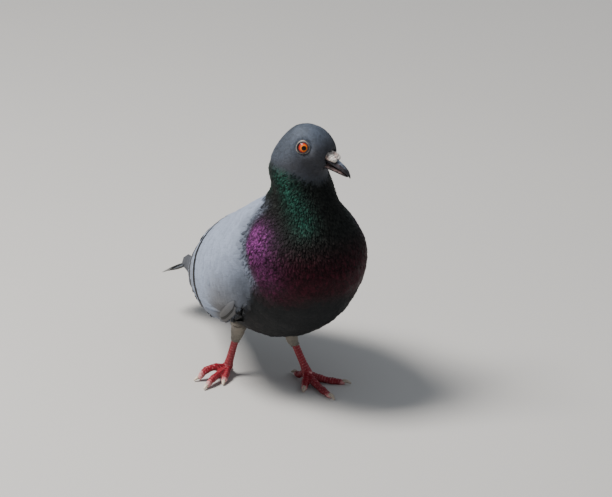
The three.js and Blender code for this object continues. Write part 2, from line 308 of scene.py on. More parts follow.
def mesh_of(name, points, faces):
    """A new mesh object of points in the bird's own millimetres."""
    mesh = bpy.data.meshes.new(name)
    mesh.from_pydata(in_frame(points).tolist(), [], faces)
    smooth_faces(mesh)
    return fresh_object(name, mesh)


def ring_quads(rows, columns, closed=False):
    """Faces between rings of places, and between the last and the first if closed."""
    quads = []
    for row in range(rows if closed else rows - 1):
        below = row * columns
        above = (row + 1) % rows * columns
        for column in range(columns):
            after = (column + 1) % columns
            quads.append((below + column, below + after, above + after, above + column))
    return quads


def face_outwards(made):
    """Turns every face of a closed mesh outwards."""
    copy = bmesh.new()
    copy.from_mesh(made.data)
    bmesh.ops.recalc_face_normals(copy, faces=copy.faces)
    copy.to_mesh(made.data)
    copy.free()


def lay_out(mesh, name, spots):
    """Adds a UV map that puts each point of a mesh at its spot."""
    point = np.empty(len(mesh.loops), np.int32)
    mesh.loops.foreach_get("vertex_index", point)
    layer = mesh.uv_layers.new(name=name)
    layer.uv.foreach_set("vector", spots[point].astype(np.float32).ravel())


def settle(piece, finish, slot, *nodes):
    """Gives a finished piece its material and its place in the frame."""
    piece.data.materials.clear()
    piece.data.materials.append(finish)
    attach(piece, "root")
    if nodes:
        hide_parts(*nodes)


# ---------------------------------------------------------------- nodes


class Value:
    """A node's output that takes part in expressions, each of which adds its Math nodes."""

    def __init__(self, tree, socket):
        self.tree = tree
        self.socket = socket

    def maths(self, operation, *terms):
        """One Math node over numbers and other outputs."""
        return self.tree.node("ShaderNodeMath", {"operation": operation}, dict(enumerate(terms)))

    def __add__(self, other):
        return self.maths("ADD", self, other)

    def __sub__(self, other):
        return self.maths("SUBTRACT", self, other)

    def __rsub__(self, other):
        return self.maths("SUBTRACT", other, self)

    def __mul__(self, other):
        return self.maths("MULTIPLY", self, other)

    def __truediv__(self, other):
        return self.maths("DIVIDE", self, other)

    def __rtruediv__(self, other):
        return self.maths("DIVIDE", other, self)

    def __pow__(self, other):
        return self.maths("POWER", self, other)

    def __abs__(self):
        return self.maths("ABSOLUTE", self)

    __radd__ = __add__
    __rmul__ = __mul__

    def sine(self):
        return self.maths("SINE", self)

    def ramp(self, low, high):
        """0 at low, 1 at high and an even curve between them."""
        sockets = {"Value": self, "From Min": low, "From Max": high}
        return self.tree.node("ShaderNodeMapRange", {"interpolation_type": "SMOOTHSTEP"}, sockets)

    def other(self, name):
        """Another output of the same node."""
        return Value(self.tree, socket_of(self.socket.node.outputs, name))


def socket_of(sockets, key):
    """A node's socket by its number, its identifier or its name."""
    if isinstance(key, int):
        return sockets[key]
    return next((s for s in sockets if s.identifier == key), None) or sockets[key]


class Tree:
    """A node tree under construction."""

    def __init__(self, nodes):
        self.nodes = nodes

    def node(self, kind, settings=None, sockets=None, output=0):
        """Adds a node of a kind: its settings come first, then its sockets' values or links."""
        made = self.nodes.nodes.new(kind)
        for name, value in (settings or {}).items():
            setattr(made, name, value)
        for key, value in (sockets or {}).items():
            self.feed(socket_of(made.inputs, key), value)
        return Value(self, socket_of(made.outputs, output)) if made.outputs else made

    def feed(self, socket, value):
        """Links an output to a socket, or sets a constant on it."""
        if isinstance(value, Value):
            self.nodes.links.new(value.socket, socket)
        else:
            socket.default_value = value[:3] if socket.type == "VECTOR" else value

    def mix(self, share, first, second):
        """A colour between two, by a share from 0 to 1."""
        sockets = {"Factor_Float": share, "A_Color": first, "B_Color": second}
        return self.node("ShaderNodeMix", {"data_type": "RGBA"}, sockets, "Result_Color")

    def scaled(self, colour, amount):
        """A colour made brighter or darker."""
        settings = {"operation": "SCALE"}
        return self.node("ShaderNodeVectorMath", settings, {0: colour, "Scale": amount})

    def attribute(self, name, output="Fac"):
        return self.node("ShaderNodeAttribute", {"attribute_name": name}, None, output)


class Finish(Tree):
    """A material under construction, on one Principled shader."""

    def __init__(self, name, **constants):
        self.material = bpy.data.materials.new(name)
        self.material.use_nodes = True
        super().__init__(self.material.node_tree)
        self.nodes.nodes.clear()
        self.shader = self.node("ShaderNodeBsdfPrincipled")
        for key, value in constants.items():
            self.set(key.replace("_", " "), value)
        self.node("ShaderNodeOutputMaterial", None, {"Surface": self.shader})

    def set(self, name, value):
        self.feed(self.shader.socket.node.inputs[name], value)

    def noise(self, scale, detail=2.0):
        """Noise over the piece's own places, its scale in lumps to the metre."""
        place = self.node("ShaderNodeTexCoord", None, None, "Object")
        return self.node("ShaderNodeTexNoise", None, {"Vector": place, "Scale": scale, "Detail": detail})

    def relief(self, height, strength, distance):
        """A bump, its distance in millimetres."""
        sockets = {"Height": height, "Strength": strength, "Distance": distance * MM}
        self.set("Normal", self.node("ShaderNodeBump", None, sockets))


def linear(level):
    """The linear level of one part of a screen colour."""
    return level / 12.92 if level <= 0.04045 else ((level + 0.055) / 1.055) ** 2.4


def shade(code):
    """The linear colour of a six-figure code."""
    return tuple(linear(int(code[k : k + 2], 16) / 255) for k in (0, 2, 4))


def solid(colour):
    """A colour with its alpha."""
    return (*colour, 1.0)


# ---------------------------------------------------------------- settings

PAINTS = {
    "crown": ("Crown", "Slate of the head", "444c59"),
    # painted shade: the face's darker slate stands for the shade lower on the head, below the eye and round
    # the bill
    "face": ("Face", "Duller slate round the bill and under the eye", "2f3138"),
    "neck": ("Neck", "Dark ground of the neck", "121412"),
    "green": ("Green gloss", "Gloss of the upper neck", "1a3f35"),
    "violet": ("Violet gloss", "Gloss of the neck's sides", "632c60"),
    "wine": ("Wine gloss", "Gloss of the breast's front", "2c0913"),
    # painted shade: the belly's grey is painted far darker than the bird's own grey, for the shade under the
    # body
    "belly": ("Belly", "Grey of the belly and flanks", "141618"),
    "wing": ("Wing", "Pale grey of the wings and back", "8892a5"),
    "thigh": ("Thigh", "Whitish grey of the thighs", "7f796f"),
    "bar": ("Bars", "Black of the wing bars and the tail's end", "0c0d0f"),
    "flight": ("Flight feathers", "Dark grey of the wing's long feathers", "5d6068"),
    "tail": ("Tail", "Grey of the tail", "6d7480"),
}


def paint_property(name, description, code):
    """A colour in the panel's settings, from a six-figure code."""
    return bpy.props.FloatVectorProperty(
        name=name, description=description, subtype="COLOR", size=3, min=0, max=1, default=shade(code)
    )


class PigeonPlumage(bpy.types.PropertyGroup):
    """Colours of the feathers."""

    __annotations__ = {key: paint_property(*words) for key, words in PAINTS.items()}


def paints_of(colours):
    """The plumage's colours by name."""
    return {key: np.array(getattr(colours, key)) for key in PAINTS}


class PigeonBody(bpy.types.PropertyGroup):
    """Sizes of the skin and colours of the bare parts."""

    voxel: bpy.props.FloatProperty(
        name="Skin grain", description="Size of the skin's mesh", unit="LENGTH", default=1.06 * MM
    )
    iris_width: bpy.props.FloatProperty(
        name="Iris", description="Width of the iris", unit="LENGTH", default=7.4 * MM
    )
    pupil_width: bpy.props.FloatProperty(
        name="Pupil", description="Width of the pupil", unit="LENGTH", default=3.3 * MM
    )
    scute_pitch: bpy.props.FloatProperty(
        name="Scutes", description="Length of one scute on the legs", unit="LENGTH", default=1.9 * MM
    )
    iris: paint_property("Iris rim", "Red of the iris", "b01802")
    iris_inner: paint_property("Iris ring", "Amber round the pupil", "e07004")
    lid_line: paint_property("Eye ring's line", "Pale outer fold of the bare skin", "92897f")
    lid: paint_property("Eye ring", "Bare skin round the eye", "3b3538")
    leg: paint_property("Legs", "Red of the legs", "84091e")
    scute_edge: paint_property("Scute edges", "Pale skin between the scutes", "e0a6a4")
    bill: paint_property("Bill", "Horn of the bill", "232228")
    bill_flesh: paint_property("Bill's root", "Paler horn of the lower half", "5e4c4a")
    # painted highlight: the paler colour along the upper bill's ridge
    bill_ridge: paint_property("Bill's ridge", "Painted highlight along the upper half's ridge", "59616f")
    cere: paint_property("Cere", "Chalky skin over the nostrils", "e2dad3")
    cere_blush: paint_property("Cere's blush", "Pink that shows through the chalk", "c89c90")
    claw: paint_property("Claws", "Horn of the claws", "2b2524")
    claw_tip: paint_property("Pale claws", "Pale horn of the claws", "d8c8b4")


class PigeonStage(bpy.types.PropertyGroup):
    """The studio."""

    azimuth: bpy.props.FloatProperty(
        name="Azimuth", description="Camera's turn round the bird", unit="ROTATION",
        default=math.radians(-28),
    )
    elevation: bpy.props.FloatProperty(
        name="Elevation", description="Camera's angle above the floor", unit="ROTATION",
        default=math.radians(22),
    )
    distance: bpy.props.FloatProperty(
        name="Distance", description="From the camera to the bird", unit="LENGTH", default=3.0
    )
    key: bpy.props.FloatProperty(
        name="Key light", description="Power of the main light", unit="POWER", default=48.0
    )
    fill: bpy.props.FloatProperty(
        name="Room light", description="Strength of the light from all round", default=0.36
    )
    floor: paint_property("Floor", "Colour of the floor", "c4c2bf")


# ---------------------------------------------------------------- the coat's plan

# Each tract's feathers: width, length and depth in millimetres, and the spacing of their roots.
TRACTS = {
    "face": (1.5, 2.3, 0.2, 0.75),
    "head": (2.1, 3.4, 0.26, 0.95),
    "hackle": (1.6, 4.2, 0.75, 0.9),
    "collar": (2.2, 5.2, 0.85, 1.15),
    "breast": (3.6, 7.5, 1.0, 1.5),
    "belly": (5.2, 10.0, 1.15, 2.1),
    "thigh": (3.0, 6.0, 0.8, 1.15),
    "back": (7.0, 11.0, 0.8, 2.2),
    "covert": (8.0, 11.0, 0.75, 2.0),
}
# Heights between which one tract passes into the next.
HEAD_EDGE = (170, 176)
HACKLE_EDGE = (138, 149)
COLLAR_EDGE = (106, 122)
BELLY_EDGE = (82, 98)
FLANK_LINE = ([30, 60, 85, 110], [88, 82, 68, 54])  # places along the rump, and its feathers' lower edge
# Heights, and how far forward the pale feathers of wing and shoulder reach there.
WING_FRONT = (
    [60, 70, 80, 87, 95, 103, 108, 116, 122, 130, 141, 149],
    [-20, -30, -38, -42, -46, -44, -39, -32, -28.5, -26.5, -28, -33],
)


def head_line(own):
    """Height over a line that falls from nape to throat, where the head's feathers start, unturned."""
    return own[:, 2] - 0.45 * np.clip(own[:, 1] + 43, -20, 6)


def tract_shares(points, on_wing, on_thigh):
    """How much each place on the skin belongs to each tract; the shares add up to 1."""
    _, y, z = points.T
    own = unturned(points)
    to_bill = np.linalg.norm((own - BILL_ROOT) * [1, 1, 0.9], axis=1)
    head = ramp(head_line(own), *HEAD_EDGE)
    face = head * np.maximum(1 - ramp(to_bill, 8, 14), 1 - ramp(eye_distance(own), 7, 9.5))
    hackle = (1 - head) * ramp(z, *HACKLE_EDGE) * (1 - behind_front(points))
    low = (1 - head) * (1 - hackle)
    thigh = low * on_thigh
    low = low - thigh
    wing = low * on_wing
    low = low - wing
    back = low * behind_front(points) * ramp(z - np.interp(y, *FLANK_LINE), -4, 4)
    low = low - back
    belly = low * np.maximum(1 - ramp(z, *BELLY_EDGE), ramp(y, -18, 4))
    low = low - belly
    collar = low * ramp(z, *COLLAR_EDGE)
    return {
        "face": face,
        "head": head - face,
        "hackle": hackle,
        "collar": collar,
        "breast": low - collar,
        "belly": belly,
        "thigh": thigh,
        "back": back,
        "covert": wing,
    }


def coat_lie(points, outward, on_thigh, on_wing):
    """The way the feathers point at each place, along the skin."""
    x, y, z = points.T
    own = unturned(points)
    away = unit(own - BILL_ROOT)
    down = np.tile([0.0, 0.0, -1.0], (len(points), 1))
    over_head = unit(blended(away, down, 0.85 * ramp(own[:, 1], -46, -24)))
    over_head = turned_directions(points, over_head)
    slope = np.radians(88 - 62 * ramp(y + 0.35 * (100 - z), -62, 30))
    over_body = np.stack([0 * y, np.cos(slope), -np.sin(slope)], 1)
    to_apex = np.stack([-0.12 * x, FAN_APEX[0] - y, FAN_APEX[1] - z], 1)
    over_body = blended(over_body, unit(to_apex), on_wing)
    over_body = blended(over_body, np.array([0.0, 0.25, -1.0]), on_thigh)
    lie = unit(blended(over_body, over_head, ramp(z, 146, 172)))
    return unit(without(lie, outward))


def wing_front(z):
    """How far forward the pale feathers reach over the flank, at a height."""
    return np.interp(z, *WING_FRONT)


def behind_front(points):
    """1 behind the front edge of the pale feathers and under the neck's foot."""
    _, y, z = points.T
    foot = 147 + 0.35 * (y + 33)
    return ramp(y - wing_front(z), -1.5, 1.5) * (1 - ramp(z - foot, -1.5, 1.5))


def spot_at(points, centre, reach):
    """1 at a centre, falling off smoothly over a reach along each axis."""
    return np.exp(-(((points - centre) / reach) ** 2).sum(1))


def near_line(points, start, end, reach):
    """1 on a straight line between two places, falling off smoothly over a reach."""
    start = np.array(start, float)
    line = np.array(end, float) - start
    share = np.clip((points - start) @ line / (line @ line), 0, 1)
    return np.exp(-(((points - start - share[:, None] * line) ** 2).sum(1)) / reach**2)


def shaded_wing_tone(points, paints):
    """The wing's and back's grey at each place, warmer towards the folded wing's low front, with painted
    shade that darkens that low front and the hollow where the wing meets the breast.
    """
    _, y, z = points.T
    before = 1 - ramp(y, -18, 0)
    # painted shade in the hollow before the wing's front, where it meets the breast
    hollow_shade = np.exp(-(((z - 95) / 12.5) ** 2)) * (1 - ramp(y - wing_front(z), 0, 25))
    tone = blended(paints["wing"], paints["thigh"], 0.75 * (1 - ramp(z, 62, 104)) * before)
    # painted shade: the wing's front is painted darker lower down, away from the light above
    tone = tone * (1 - 0.56 * (1 - ramp(z, 60, 124)) * before)[:, None]
    return tone * (1 - 0.78 * hollow_shade)[:, None]


# The violet gloss: the centre, the reach along each axis and the strength of its spots.
VIOLET_SPOTS = [
    ((-38, -42, 128), (10, 13, 12), 1.0),
    ((-35, -54, 110), (14, 14, 13), 0.32),
    ((40, -36, 125), (10, 14, 14), 1.0),
]
# The green gloss: the two ends, the reach and the strength of its streaks.
GREEN_STREAKS = [
    ((-19.5, -44, 174), (-12.5, -65, 143), 8.0, 1.0),
    ((25, -30, 170), (36, -50, 140), 9.0, 0.8),
]
LORE = ((8.5, -53.5, 185.5), (5.5, -60.5, 182), 1.1)  # the pale line before the left eye, and its reach


def neck_gloss(points, pale):
    """How glossy the coat is: over neck and breast, up to the head's first feathers."""
    _, y, z = points.T
    round_neck = ((y + 62) / 40) ** 2 + ((z - 135) / 47) ** 2
    glossy = np.maximum(1 - ramp(round_neck, 0.75, 1.1), ramp(z, 141, 150)) * (1 - pale)
    return glossy * (1 - ramp(head_line(unturned(points)), 171, 177.5))


def neck_paint(made, points, glossy, paints):
    """The neck's dark ground, with wine over the breast, violet at the sides and green above."""
    _, y, z = points.T
    made = blended(made, paints["neck"], glossy)
    made = blended(made, paints["wine"], glossy * (1 - ramp(z, 108, 134)) * 0.95)
    violet = sum(strength * spot_at(points, centre, reach) for centre, reach, strength in VIOLET_SPOTS)
    made = blended(made, paints["violet"], glossy * np.clip(1.1 * violet, 0, 1))
    green = [strength * near_line(points, *streak) for *streak, strength in GREEN_STREAKS]
    green.append(0.5 * ramp(z, 150, 160) * ramp(y, -38, -26))
    share = 0.8 * glossy * np.maximum.reduce(green) * (1 - np.clip(violet, 0, 1))
    return blended(made, paints["green"], share)


def head_paint(made, own, share, paints):
    """The head's slate with painted shade, darker below the eye and at the nape, and a pale line before each
    eye.
    """
    # painted shade: the slate turns darker below the eye and towards the bill
    face_shade = 1 - ramp(own[:, 2] + 0.55 * (own[:, 1] + 48), 181, 197)
    # painted shade: the slate is painted darker towards the nape
    nape = 1 - 0.3 * ramp(own[:, 1], -44, -34)
    made = blended(made, paints["crown"] * nape[:, None], share)
    made = blended(made, paints["face"], share * face_shade)
    return blended(made, paints["thigh"], 0.45 * share * near_line(on_left(own), *LORE))


def coat_paint(points, shares, paints):
    """Colour and gloss of the coat at each place."""
    x, y, z = points.T
    past_front = y - wing_front(z)
    pale = ramp(np.maximum(shares["covert"], shares["back"]), 0.05, 0.75)
    # the belly's grey, painted dark as shade, is the coat's ground and goes into the grey between wing and
    # neck
    between = blended(paints["belly"], paints["wing"], 0.4)
    # the wing's grey, with its painted shade at the low front
    wing = blended(between, shaded_wing_tone(points, paints), ramp(past_front, -3, 9.5))
    made = blended(np.tile(paints["belly"], (len(points), 1)), wing, pale)
    made = blended(made, paints["thigh"], shares["thigh"] * (1 - ramp(z, 50, 62)))
    glossy = neck_gloss(points, pale)
    made = neck_paint(made, points, glossy, paints)
    pale_edge = ramp(past_front, -9.5, -1.5) * ramp(np.abs(x), 20, 30) * ramp(z, 90, 104)
    made = blended(made, between, 0.95 * glossy * pale_edge)
    made = head_paint(made, unturned(points), (1 - glossy) * ramp(z, 156, 166), paints)
    return made, glossy * (1 - 0.85 * pale_edge)


FLESH_NODES = ["trunk", "neck", "head"]
THIGH_NODES = [f"thigh_{side}" for side in SIDES]
WING_NODES = [f"wing_{part}_{side}" for part in ("coverts", "secondaries") for side in SIDES]
BILL_NODES = ["bill_upper", "bill_lower", "cere"]
SKIN_NODES = FLESH_NODES + THIGH_NODES + WING_NODES


def tract_plan(points):
    """The tracts' shares of each place on the skin, and the mask of the thighs."""
    x, y, z = points.T
    to_flesh = distance_to(points, *FLESH_NODES)
    on_wing = ramp(to_flesh - distance_to(points, *WING_NODES), -1.5, 1.5)
    wrist = ramp(np.abs(x), 24, 32) * ramp(z, 62, 70) * (1 - ramp(y, -34, -24))
    on_wing = np.maximum(on_wing, wrist) * ramp(y - wing_front(z), -1.5, 1.5)
    on_thigh = ramp(to_flesh - distance_to(points, *THIGH_NODES), -3, 3) * (1 - ramp(z, 66, 78))
    return tract_shares(points, on_wing, on_thigh), on_thigh


def blend_of(shares, column):
    """A size blended from the tracts' own sizes."""
    return sum(shares[name] * sizes[column] for name, sizes in TRACTS.items())


def bare_places(points):
    """1 where no feather grows: round the eyes, at the bill's root and over the tail."""
    bare = (1 - ramp(eye_distance(unturned(points)), 5.5, 6.1)) * (points[:, 2] > 170)
    at_bill = 1 - ramp(distance_to(points, *BILL_NODES), 0.5, 0.9)
    on_tail = (1 - ramp(distance_to(points, "tail"), 0.6, 1.6)) * (points[:, 1] > 74)
    return np.maximum.reduce([bare, at_bill, on_tail])


def growth_at(points, shares):
    """How large a tract's feathers grow: smaller at the wing's front, before it and on the rump."""
    _, y, z = points.T
    past_front = y - wing_front(z)
    growth = 0.5 + 0.5 * ramp(past_front, -4, 26)
    growth = 1 - (1 - growth) * np.maximum(shares["covert"], shares["back"])
    fringe = ramp(past_front, -13, -5) * (1 - ramp(past_front, -1, 5)) * ramp(z, 88, 100)
    growth = growth * (1 - 0.5 * fringe * (1 - shares["hackle"]))
    return growth * (1 - 0.3 * shares["back"] * ramp(y, 68, 84))


def skin_plan(mesh, shares, on_thigh, paints):
    """Stores on the skin all that the coat reads: tracts, lie, sizes, colour and gloss."""
    points = places(mesh)
    outward = normals(mesh)
    x, y, z = points.T
    row = feather_row(points)
    behind = ramp(row, FRONT_BAR - 11, FRONT_BAR - 8)
    wing_end = ramp(row, REAR_BAR + 8, REAR_BAR + 12) * ramp(np.abs(x), 8.5, 11)
    under_wing = behind * ramp(shares["covert"], 0.02, 0.15)
    # the long feathers of the wing cover these, so no small ones grow there
    covered = {"covert": behind, "back": wing_end * (z > 58), "belly": under_wing, "thigh": under_wing}
    bare = bare_places(points)
    for name, share in shares.items():
        note(mesh, name, share * (1 - np.maximum(bare, covered.get(name, 0))))
    note(mesh, "lie", coat_lie(points, outward, on_thigh, shares["covert"]), "FLOAT_VECTOR")
    note(mesh, "outward", outward, "FLOAT_VECTOR")
    own = unturned(points)
    to_face = np.minimum(eye_distance(own), np.linalg.norm(own - BILL_ROOT, axis=1))
    near_face = 0.55 + 0.45 * ramp(to_face, 6, 11)
    cuff = shares["thigh"] * (1 - ramp(z, 27, 37))
    growth = growth_at(points, shares)
    note(mesh, "width", blend_of(shares, 0) * growth)
    note(mesh, "length", blend_of(shares, 1) * growth * near_face * (1 - 0.35 * cuff))
    note(mesh, "depth", blend_of(shares, 2) * (1 - 0.75 * cuff))
    paint, gloss = coat_paint(points, shares, paints)
    # the belly's grey, painted dark as shade, runs up behind the wing's lower edge
    under_edge = behind * ramp(z, 46, 52) * (1 - ramp(z, 58, 63)) * (1 - on_thigh) * (1 - ramp(y, 66, 78))
    note(mesh, "plumage", blended(paint, paints["belly"], under_edge), "FLOAT_COLOR")
    note(mesh, "gloss", gloss)


def eye_mound(points):
    """Draws the skin round each eye up or down to the rim of its ring."""
    own = unturned(points)
    for sign in SIDES.values():
        mirror = [sign, 1, 1]
        axis = unit(RING_AXIS * mirror)
        off = own - EYE_CENTRE * mirror
        height = off @ axis
        reach = np.linalg.norm(off - height[:, None] * axis, axis=1)
        share = (1 - ramp(reach, 5.0, 10.0)) * (height > -4)
        own = own + axis * ((RIM_HEIGHT - height) * share)[:, None]
    return rotated(own, turn_at(points[:, 2]))


# The rounded back over the channel between the folded wings: y, height of its middle, half its width,
# how far its edges lie under the middle, and its depth.
MANTLE = [
    (-20, 148.6, 20, 6, 14), (-6, 143, 21, 7.6, 14), (8, 134.6, 18.5, 5.3, 14), (22, 126.4, 15, 3.5, 14),
    (36, 118, 14, 2.9, 14), (50, 109.2, 13.5, 2.6, 14), (64, 98.9, 12, 2.5, 14), (78, 87.5, 10.5, 3, 14),
    (92, 74, 9, 3.2, 9), (104, 61, 7.5, 2.5, 3),
]


def mantle():
    """The rounded back as a closed mesh's places and faces."""
    rows = 40
    across = np.linspace(-1, 1, 9)
    y, top, half, drop, deep = curve_at(MANTLE, np.linspace(0, 1, rows)).T[..., None]
    upper = np.stack(np.broadcast_arrays(half * across, y, top - drop * across**2), -1)
    lower = upper[:, ::-1].copy()
    lower[..., 2] -= deep
    around = 2 * len(across)
    ends = [tuple(range(around)), tuple(range((rows - 1) * around, rows * around))]
    return np.concatenate([upper, lower], 1).reshape(-1, 3), ring_quads(rows, around) + ends


# Where the skin stands out of the solids' shape or in: centre, reach along each axis, millimetres.
SHOULDER = ((20, 2, 136), (12, 16, 12), 1.3)
CROWN = ((0, -35, 200), (12, 7, 7), 1.0)
FOREHEAD = ((0, -56, 200), (10, 6, 7), -0.8)


def swell(points, centre, reach, height):
    """How far a round swelling stands out at each place."""
    return height * spot_at(points, centre, reach)


def skin_inset(points, shares):
    """How far the skin lies under the solids' outline, so that the coat comes out to it."""
    behind = ramp(feather_row(points), FRONT_BAR - 8, FRONT_BAR)
    inset = blend_of(shares, 2) + 0.25
    inset = inset + 0.6 * behind * shares["covert"] * (1 - ramp(points[:, 1], 50, 70))
    inset = inset + 1.5 * (1 - ramp(distance_to(points, *BILL_NODES), 0.3, 3.2))
    inset = inset - swell(on_left(points), *SHOULDER)
    return inset - swell(unturned(points), *CROWN) - swell(unturned(points), *FOREHEAD)


def make_skin(settings, colours):
    """One skin over trunk, neck, head, thighs and folded wings, inside their outline by the coat's depth."""
    back = mesh_of("mantle", *mantle())
    face_outwards(back)
    skin = refined("skin", SKIN_NODES, voxel=settings.voxel / MM, rounds=22, grow=0.35, extra=back.data)
    bpy.data.objects.remove(back)
    points = places(skin.data)
    shares, on_thigh = tract_plan(points)
    inset = points - normals(skin.data) * skin_inset(points, shares)[:, None]
    set_places(skin.data, eye_mound(inset))
    unwrapped(skin)
    skin_plan(skin.data, shares, on_thigh, paints_of(colours))
    finish = Finish("Feathered skin", Roughness=0.85)
    grain = finish.noise(900.0)
    finish.set("Base Color", finish.scaled(finish.attribute("plumage", "Color"), grain * 0.5 + 0.6))
    finish.relief(grain, strength=0.4, distance=0.2)
    settle(skin, finish.material, "feathers", *SKIN_NODES)


# ---------------------------------------------------------------- small feathers

VANE_SHAPES = {
    "round": [(0.1, 0.3), (0.35, 0.46), (0.62, 0.5), (0.84, 0.4), (0.95, 0.22)],
    "short": [(0.15, 0.4), (0.5, 0.5), (0.85, 0.32)],
    "point": [(0.15, 0.36), (0.4, 0.5), (0.7, 0.42), (0.9, 0.2)],
}


def make_vane(shape):
    """A closed thin feather, 1 long and 1 wide, along +Y with its upper side towards +Z."""
    rows = VANE_SHAPES[shape]
    points = [(0, 0, 0)]
    for along, half in rows:
        points += [(-half, along, 0), (0, along, 1), (half, along, 0)]
    points.append((0, 1, 0))
    tip = len(points) - 1
    faces = [(0, 2, 1), (0, 3, 2), (0, 1, 3)]
    for row in range(len(rows) - 1):
        a, b, c = (1 + 3 * row + k for k in range(3))
        d, e, f = (4 + 3 * row + k for k in range(3))
        faces += [(a, b, e, d), (b, c, f, e), (a, d, f, c)]
    a, b, c = tip - 3, tip - 2, tip - 1
    faces += [(a, b, tip), (b, c, tip), (a, tip, c)]
    mesh = bpy.data.meshes.new("vane_" + shape)
    mesh.from_pydata([(x, y, 0) for x, y, _ in points], [], faces)
    smooth_faces(mesh)
    sharpen(mesh, [k not in range(2, tip, 3) for k in range(tip + 1)])
    shaped = np.array(points, float)
    note(mesh, "along", shaped[:, 1])
    note(mesh, "crown_height", shaped[:, 2])
    lay_out(mesh, "vane", shaped[:, :2] + [0.5, 0])
    return bpy.data.objects.new("vane_" + shape, mesh)


class Growth(Tree):
    """A Geometry Nodes tree under construction, with short names for the nodes that it uses most."""

    def __init__(self, name, inputs):
        group = bpy.data.node_groups.new(name, "GeometryNodeTree")
        super().__init__(group)
        group.interface.new_socket("Geometry", in_out="INPUT", socket_type="NodeSocketGeometry")
        for label, kind in inputs.items():
            group.interface.new_socket(label, in_out="INPUT", socket_type="NodeSocket" + kind)
        group.interface.new_socket("Geometry", in_out="OUTPUT", socket_type="NodeSocketGeometry")
        self.given = self.node("NodeGroupInput")

    def named(self, name, kind="FLOAT"):
        return self.node("GeometryNodeInputNamedAttribute", {"data_type": kind}, {"Name": name})

    def stored(self, geometry, name, value, kind="FLOAT", domain="POINT"):
        settings = {"data_type": kind, "domain": domain}
        sockets = {"Geometry": geometry, "Name": name, "Value": value}
        return self.node("GeometryNodeStoreNamedAttribute", settings, sockets)

    def chance(self, low, high, seed):
        sockets = {"Min_001": low, "Max_001": high, "Seed": seed}
        return self.node("FunctionNodeRandomValue", {"data_type": "FLOAT"}, sockets, "Value_001")

    def vector(self, operation, first, second):
        sockets = {0: first, "Scale" if operation == "SCALE" else 1: second}
        return self.node("ShaderNodeVectorMath", {"operation": operation}, sockets)

    def sampled(self, surface, value, place):
        settings = {"data_type": "FLOAT_VECTOR"}
        sockets = {"Mesh": surface, "Value": value, "Sample Position": place}
        return self.node("GeometryNodeSampleNearestSurface", settings, sockets)


COAT_INPUTS = {
    "Tract": "String", "Vane": "Object", "Spacing": "Float", "Thickness": "Float", "Ruffle": "Float",
    "Seed": "Int", "Finish": "Material",
}
SWAY = 0.16  # radians, how far a feather may turn from the coat's lie
BAKE_PATCH = 0.003  # how wide a feather's patch of the bake map is
ROUGHNESS = 0.62  # of a feather's surface without gloss


def rooted(grow, skin, least, most):
    """The roots of a tract's feathers, each with its place on the bake map, its tint and its lift."""
    seed = skin.other("Seed")
    spacing = skin.other("Spacing")
    roots = grow.node(
        "GeometryNodeDistributePointsOnFaces",
        {"distribute_method": "POISSON"},
        {"Mesh": skin, "Distance Min": spacing, "Density Max": 4.0 / (spacing * spacing),
         "Density Factor": grow.named(skin.other("Tract")), "Seed": seed},
    )
    roots = grow.stored(roots, "root", grow.named("OFBake", "FLOAT_VECTOR"), "FLOAT_VECTOR")
    roots = grow.stored(roots, "tint", grow.chance(0.0, 1.0, seed))
    roots = grow.stored(roots, "lift", grow.chance(least, most, seed + 1))
    return grow.node("GeometryNodeRemoveAttribute", None, {"Geometry": roots, "Name": "OFBake"})


def vane_facing(grow, seed):
    """Each vane's upper side turned outwards and its tip along the coat's lie, a little to either side."""
    facing = grow.node(
        "FunctionNodeAxesToRotation", {"primary_axis": "Z", "secondary_axis": "Y"},
        {0: grow.named("outward", "FLOAT_VECTOR"), 1: grow.named("lie", "FLOAT_VECTOR")},
    )
    sway = grow.node("ShaderNodeCombineXYZ", None, {"Z": grow.chance(-SWAY, SWAY, seed + 2)})
    sway = grow.node("FunctionNodeEulerToRotation", None, {0: sway})
    return grow.node("FunctionNodeRotateRotation", {"rotation_space": "LOCAL"}, {0: facing, 1: sway})


def wrapped(grow, coat, skin):
    """The feathers bent over the skin, each place raised by its share of the coat's depth."""
    place = grow.node("GeometryNodeInputPosition")
    foot = grow.sampled(skin, place, place)
    outward = grow.sampled(skin, grow.named("outward", "FLOAT_VECTOR"), place)
    rise = grow.named("depth") * grow.named("lift") * (grow.named("along") * 1.1 - 0.1)
    height = rise * MM + grow.named("crown_height") * skin.other("Thickness")
    raised = grow.vector("ADD", foot, grow.vector("SCALE", outward, height))
    return grow.node("GeometryNodeSetPosition", None, {"Geometry": coat, "Position": raised})


def painted(grow, coat, skin):
    """The colour of each feather's root, mixed with the skin's colour under each of its places."""
    paint = grow.named("plumage", "FLOAT_VECTOR")
    under = grow.sampled(skin, paint, grow.node("GeometryNodeInputPosition"))
    paint = grow.vector("ADD", grow.vector("SCALE", paint, 0.6), grow.vector("SCALE", under, 0.4))
    return grow.stored(coat, "plumage", paint, "FLOAT_COLOR")


def mapped(grow, coat):
    """A small patch of the bake map for each feather, at its root's place."""
    patch = grow.vector("SUBTRACT", grow.named("vane", "FLOAT_VECTOR"), (0.5, 0.5, 0.0))
    patch = grow.vector("SCALE", patch, BAKE_PATCH)
    patch = grow.vector("ADD", grow.named("root", "FLOAT_VECTOR"), patch)
    return grow.stored(coat, "OFBake", patch, "FLOAT2", "CORNER")


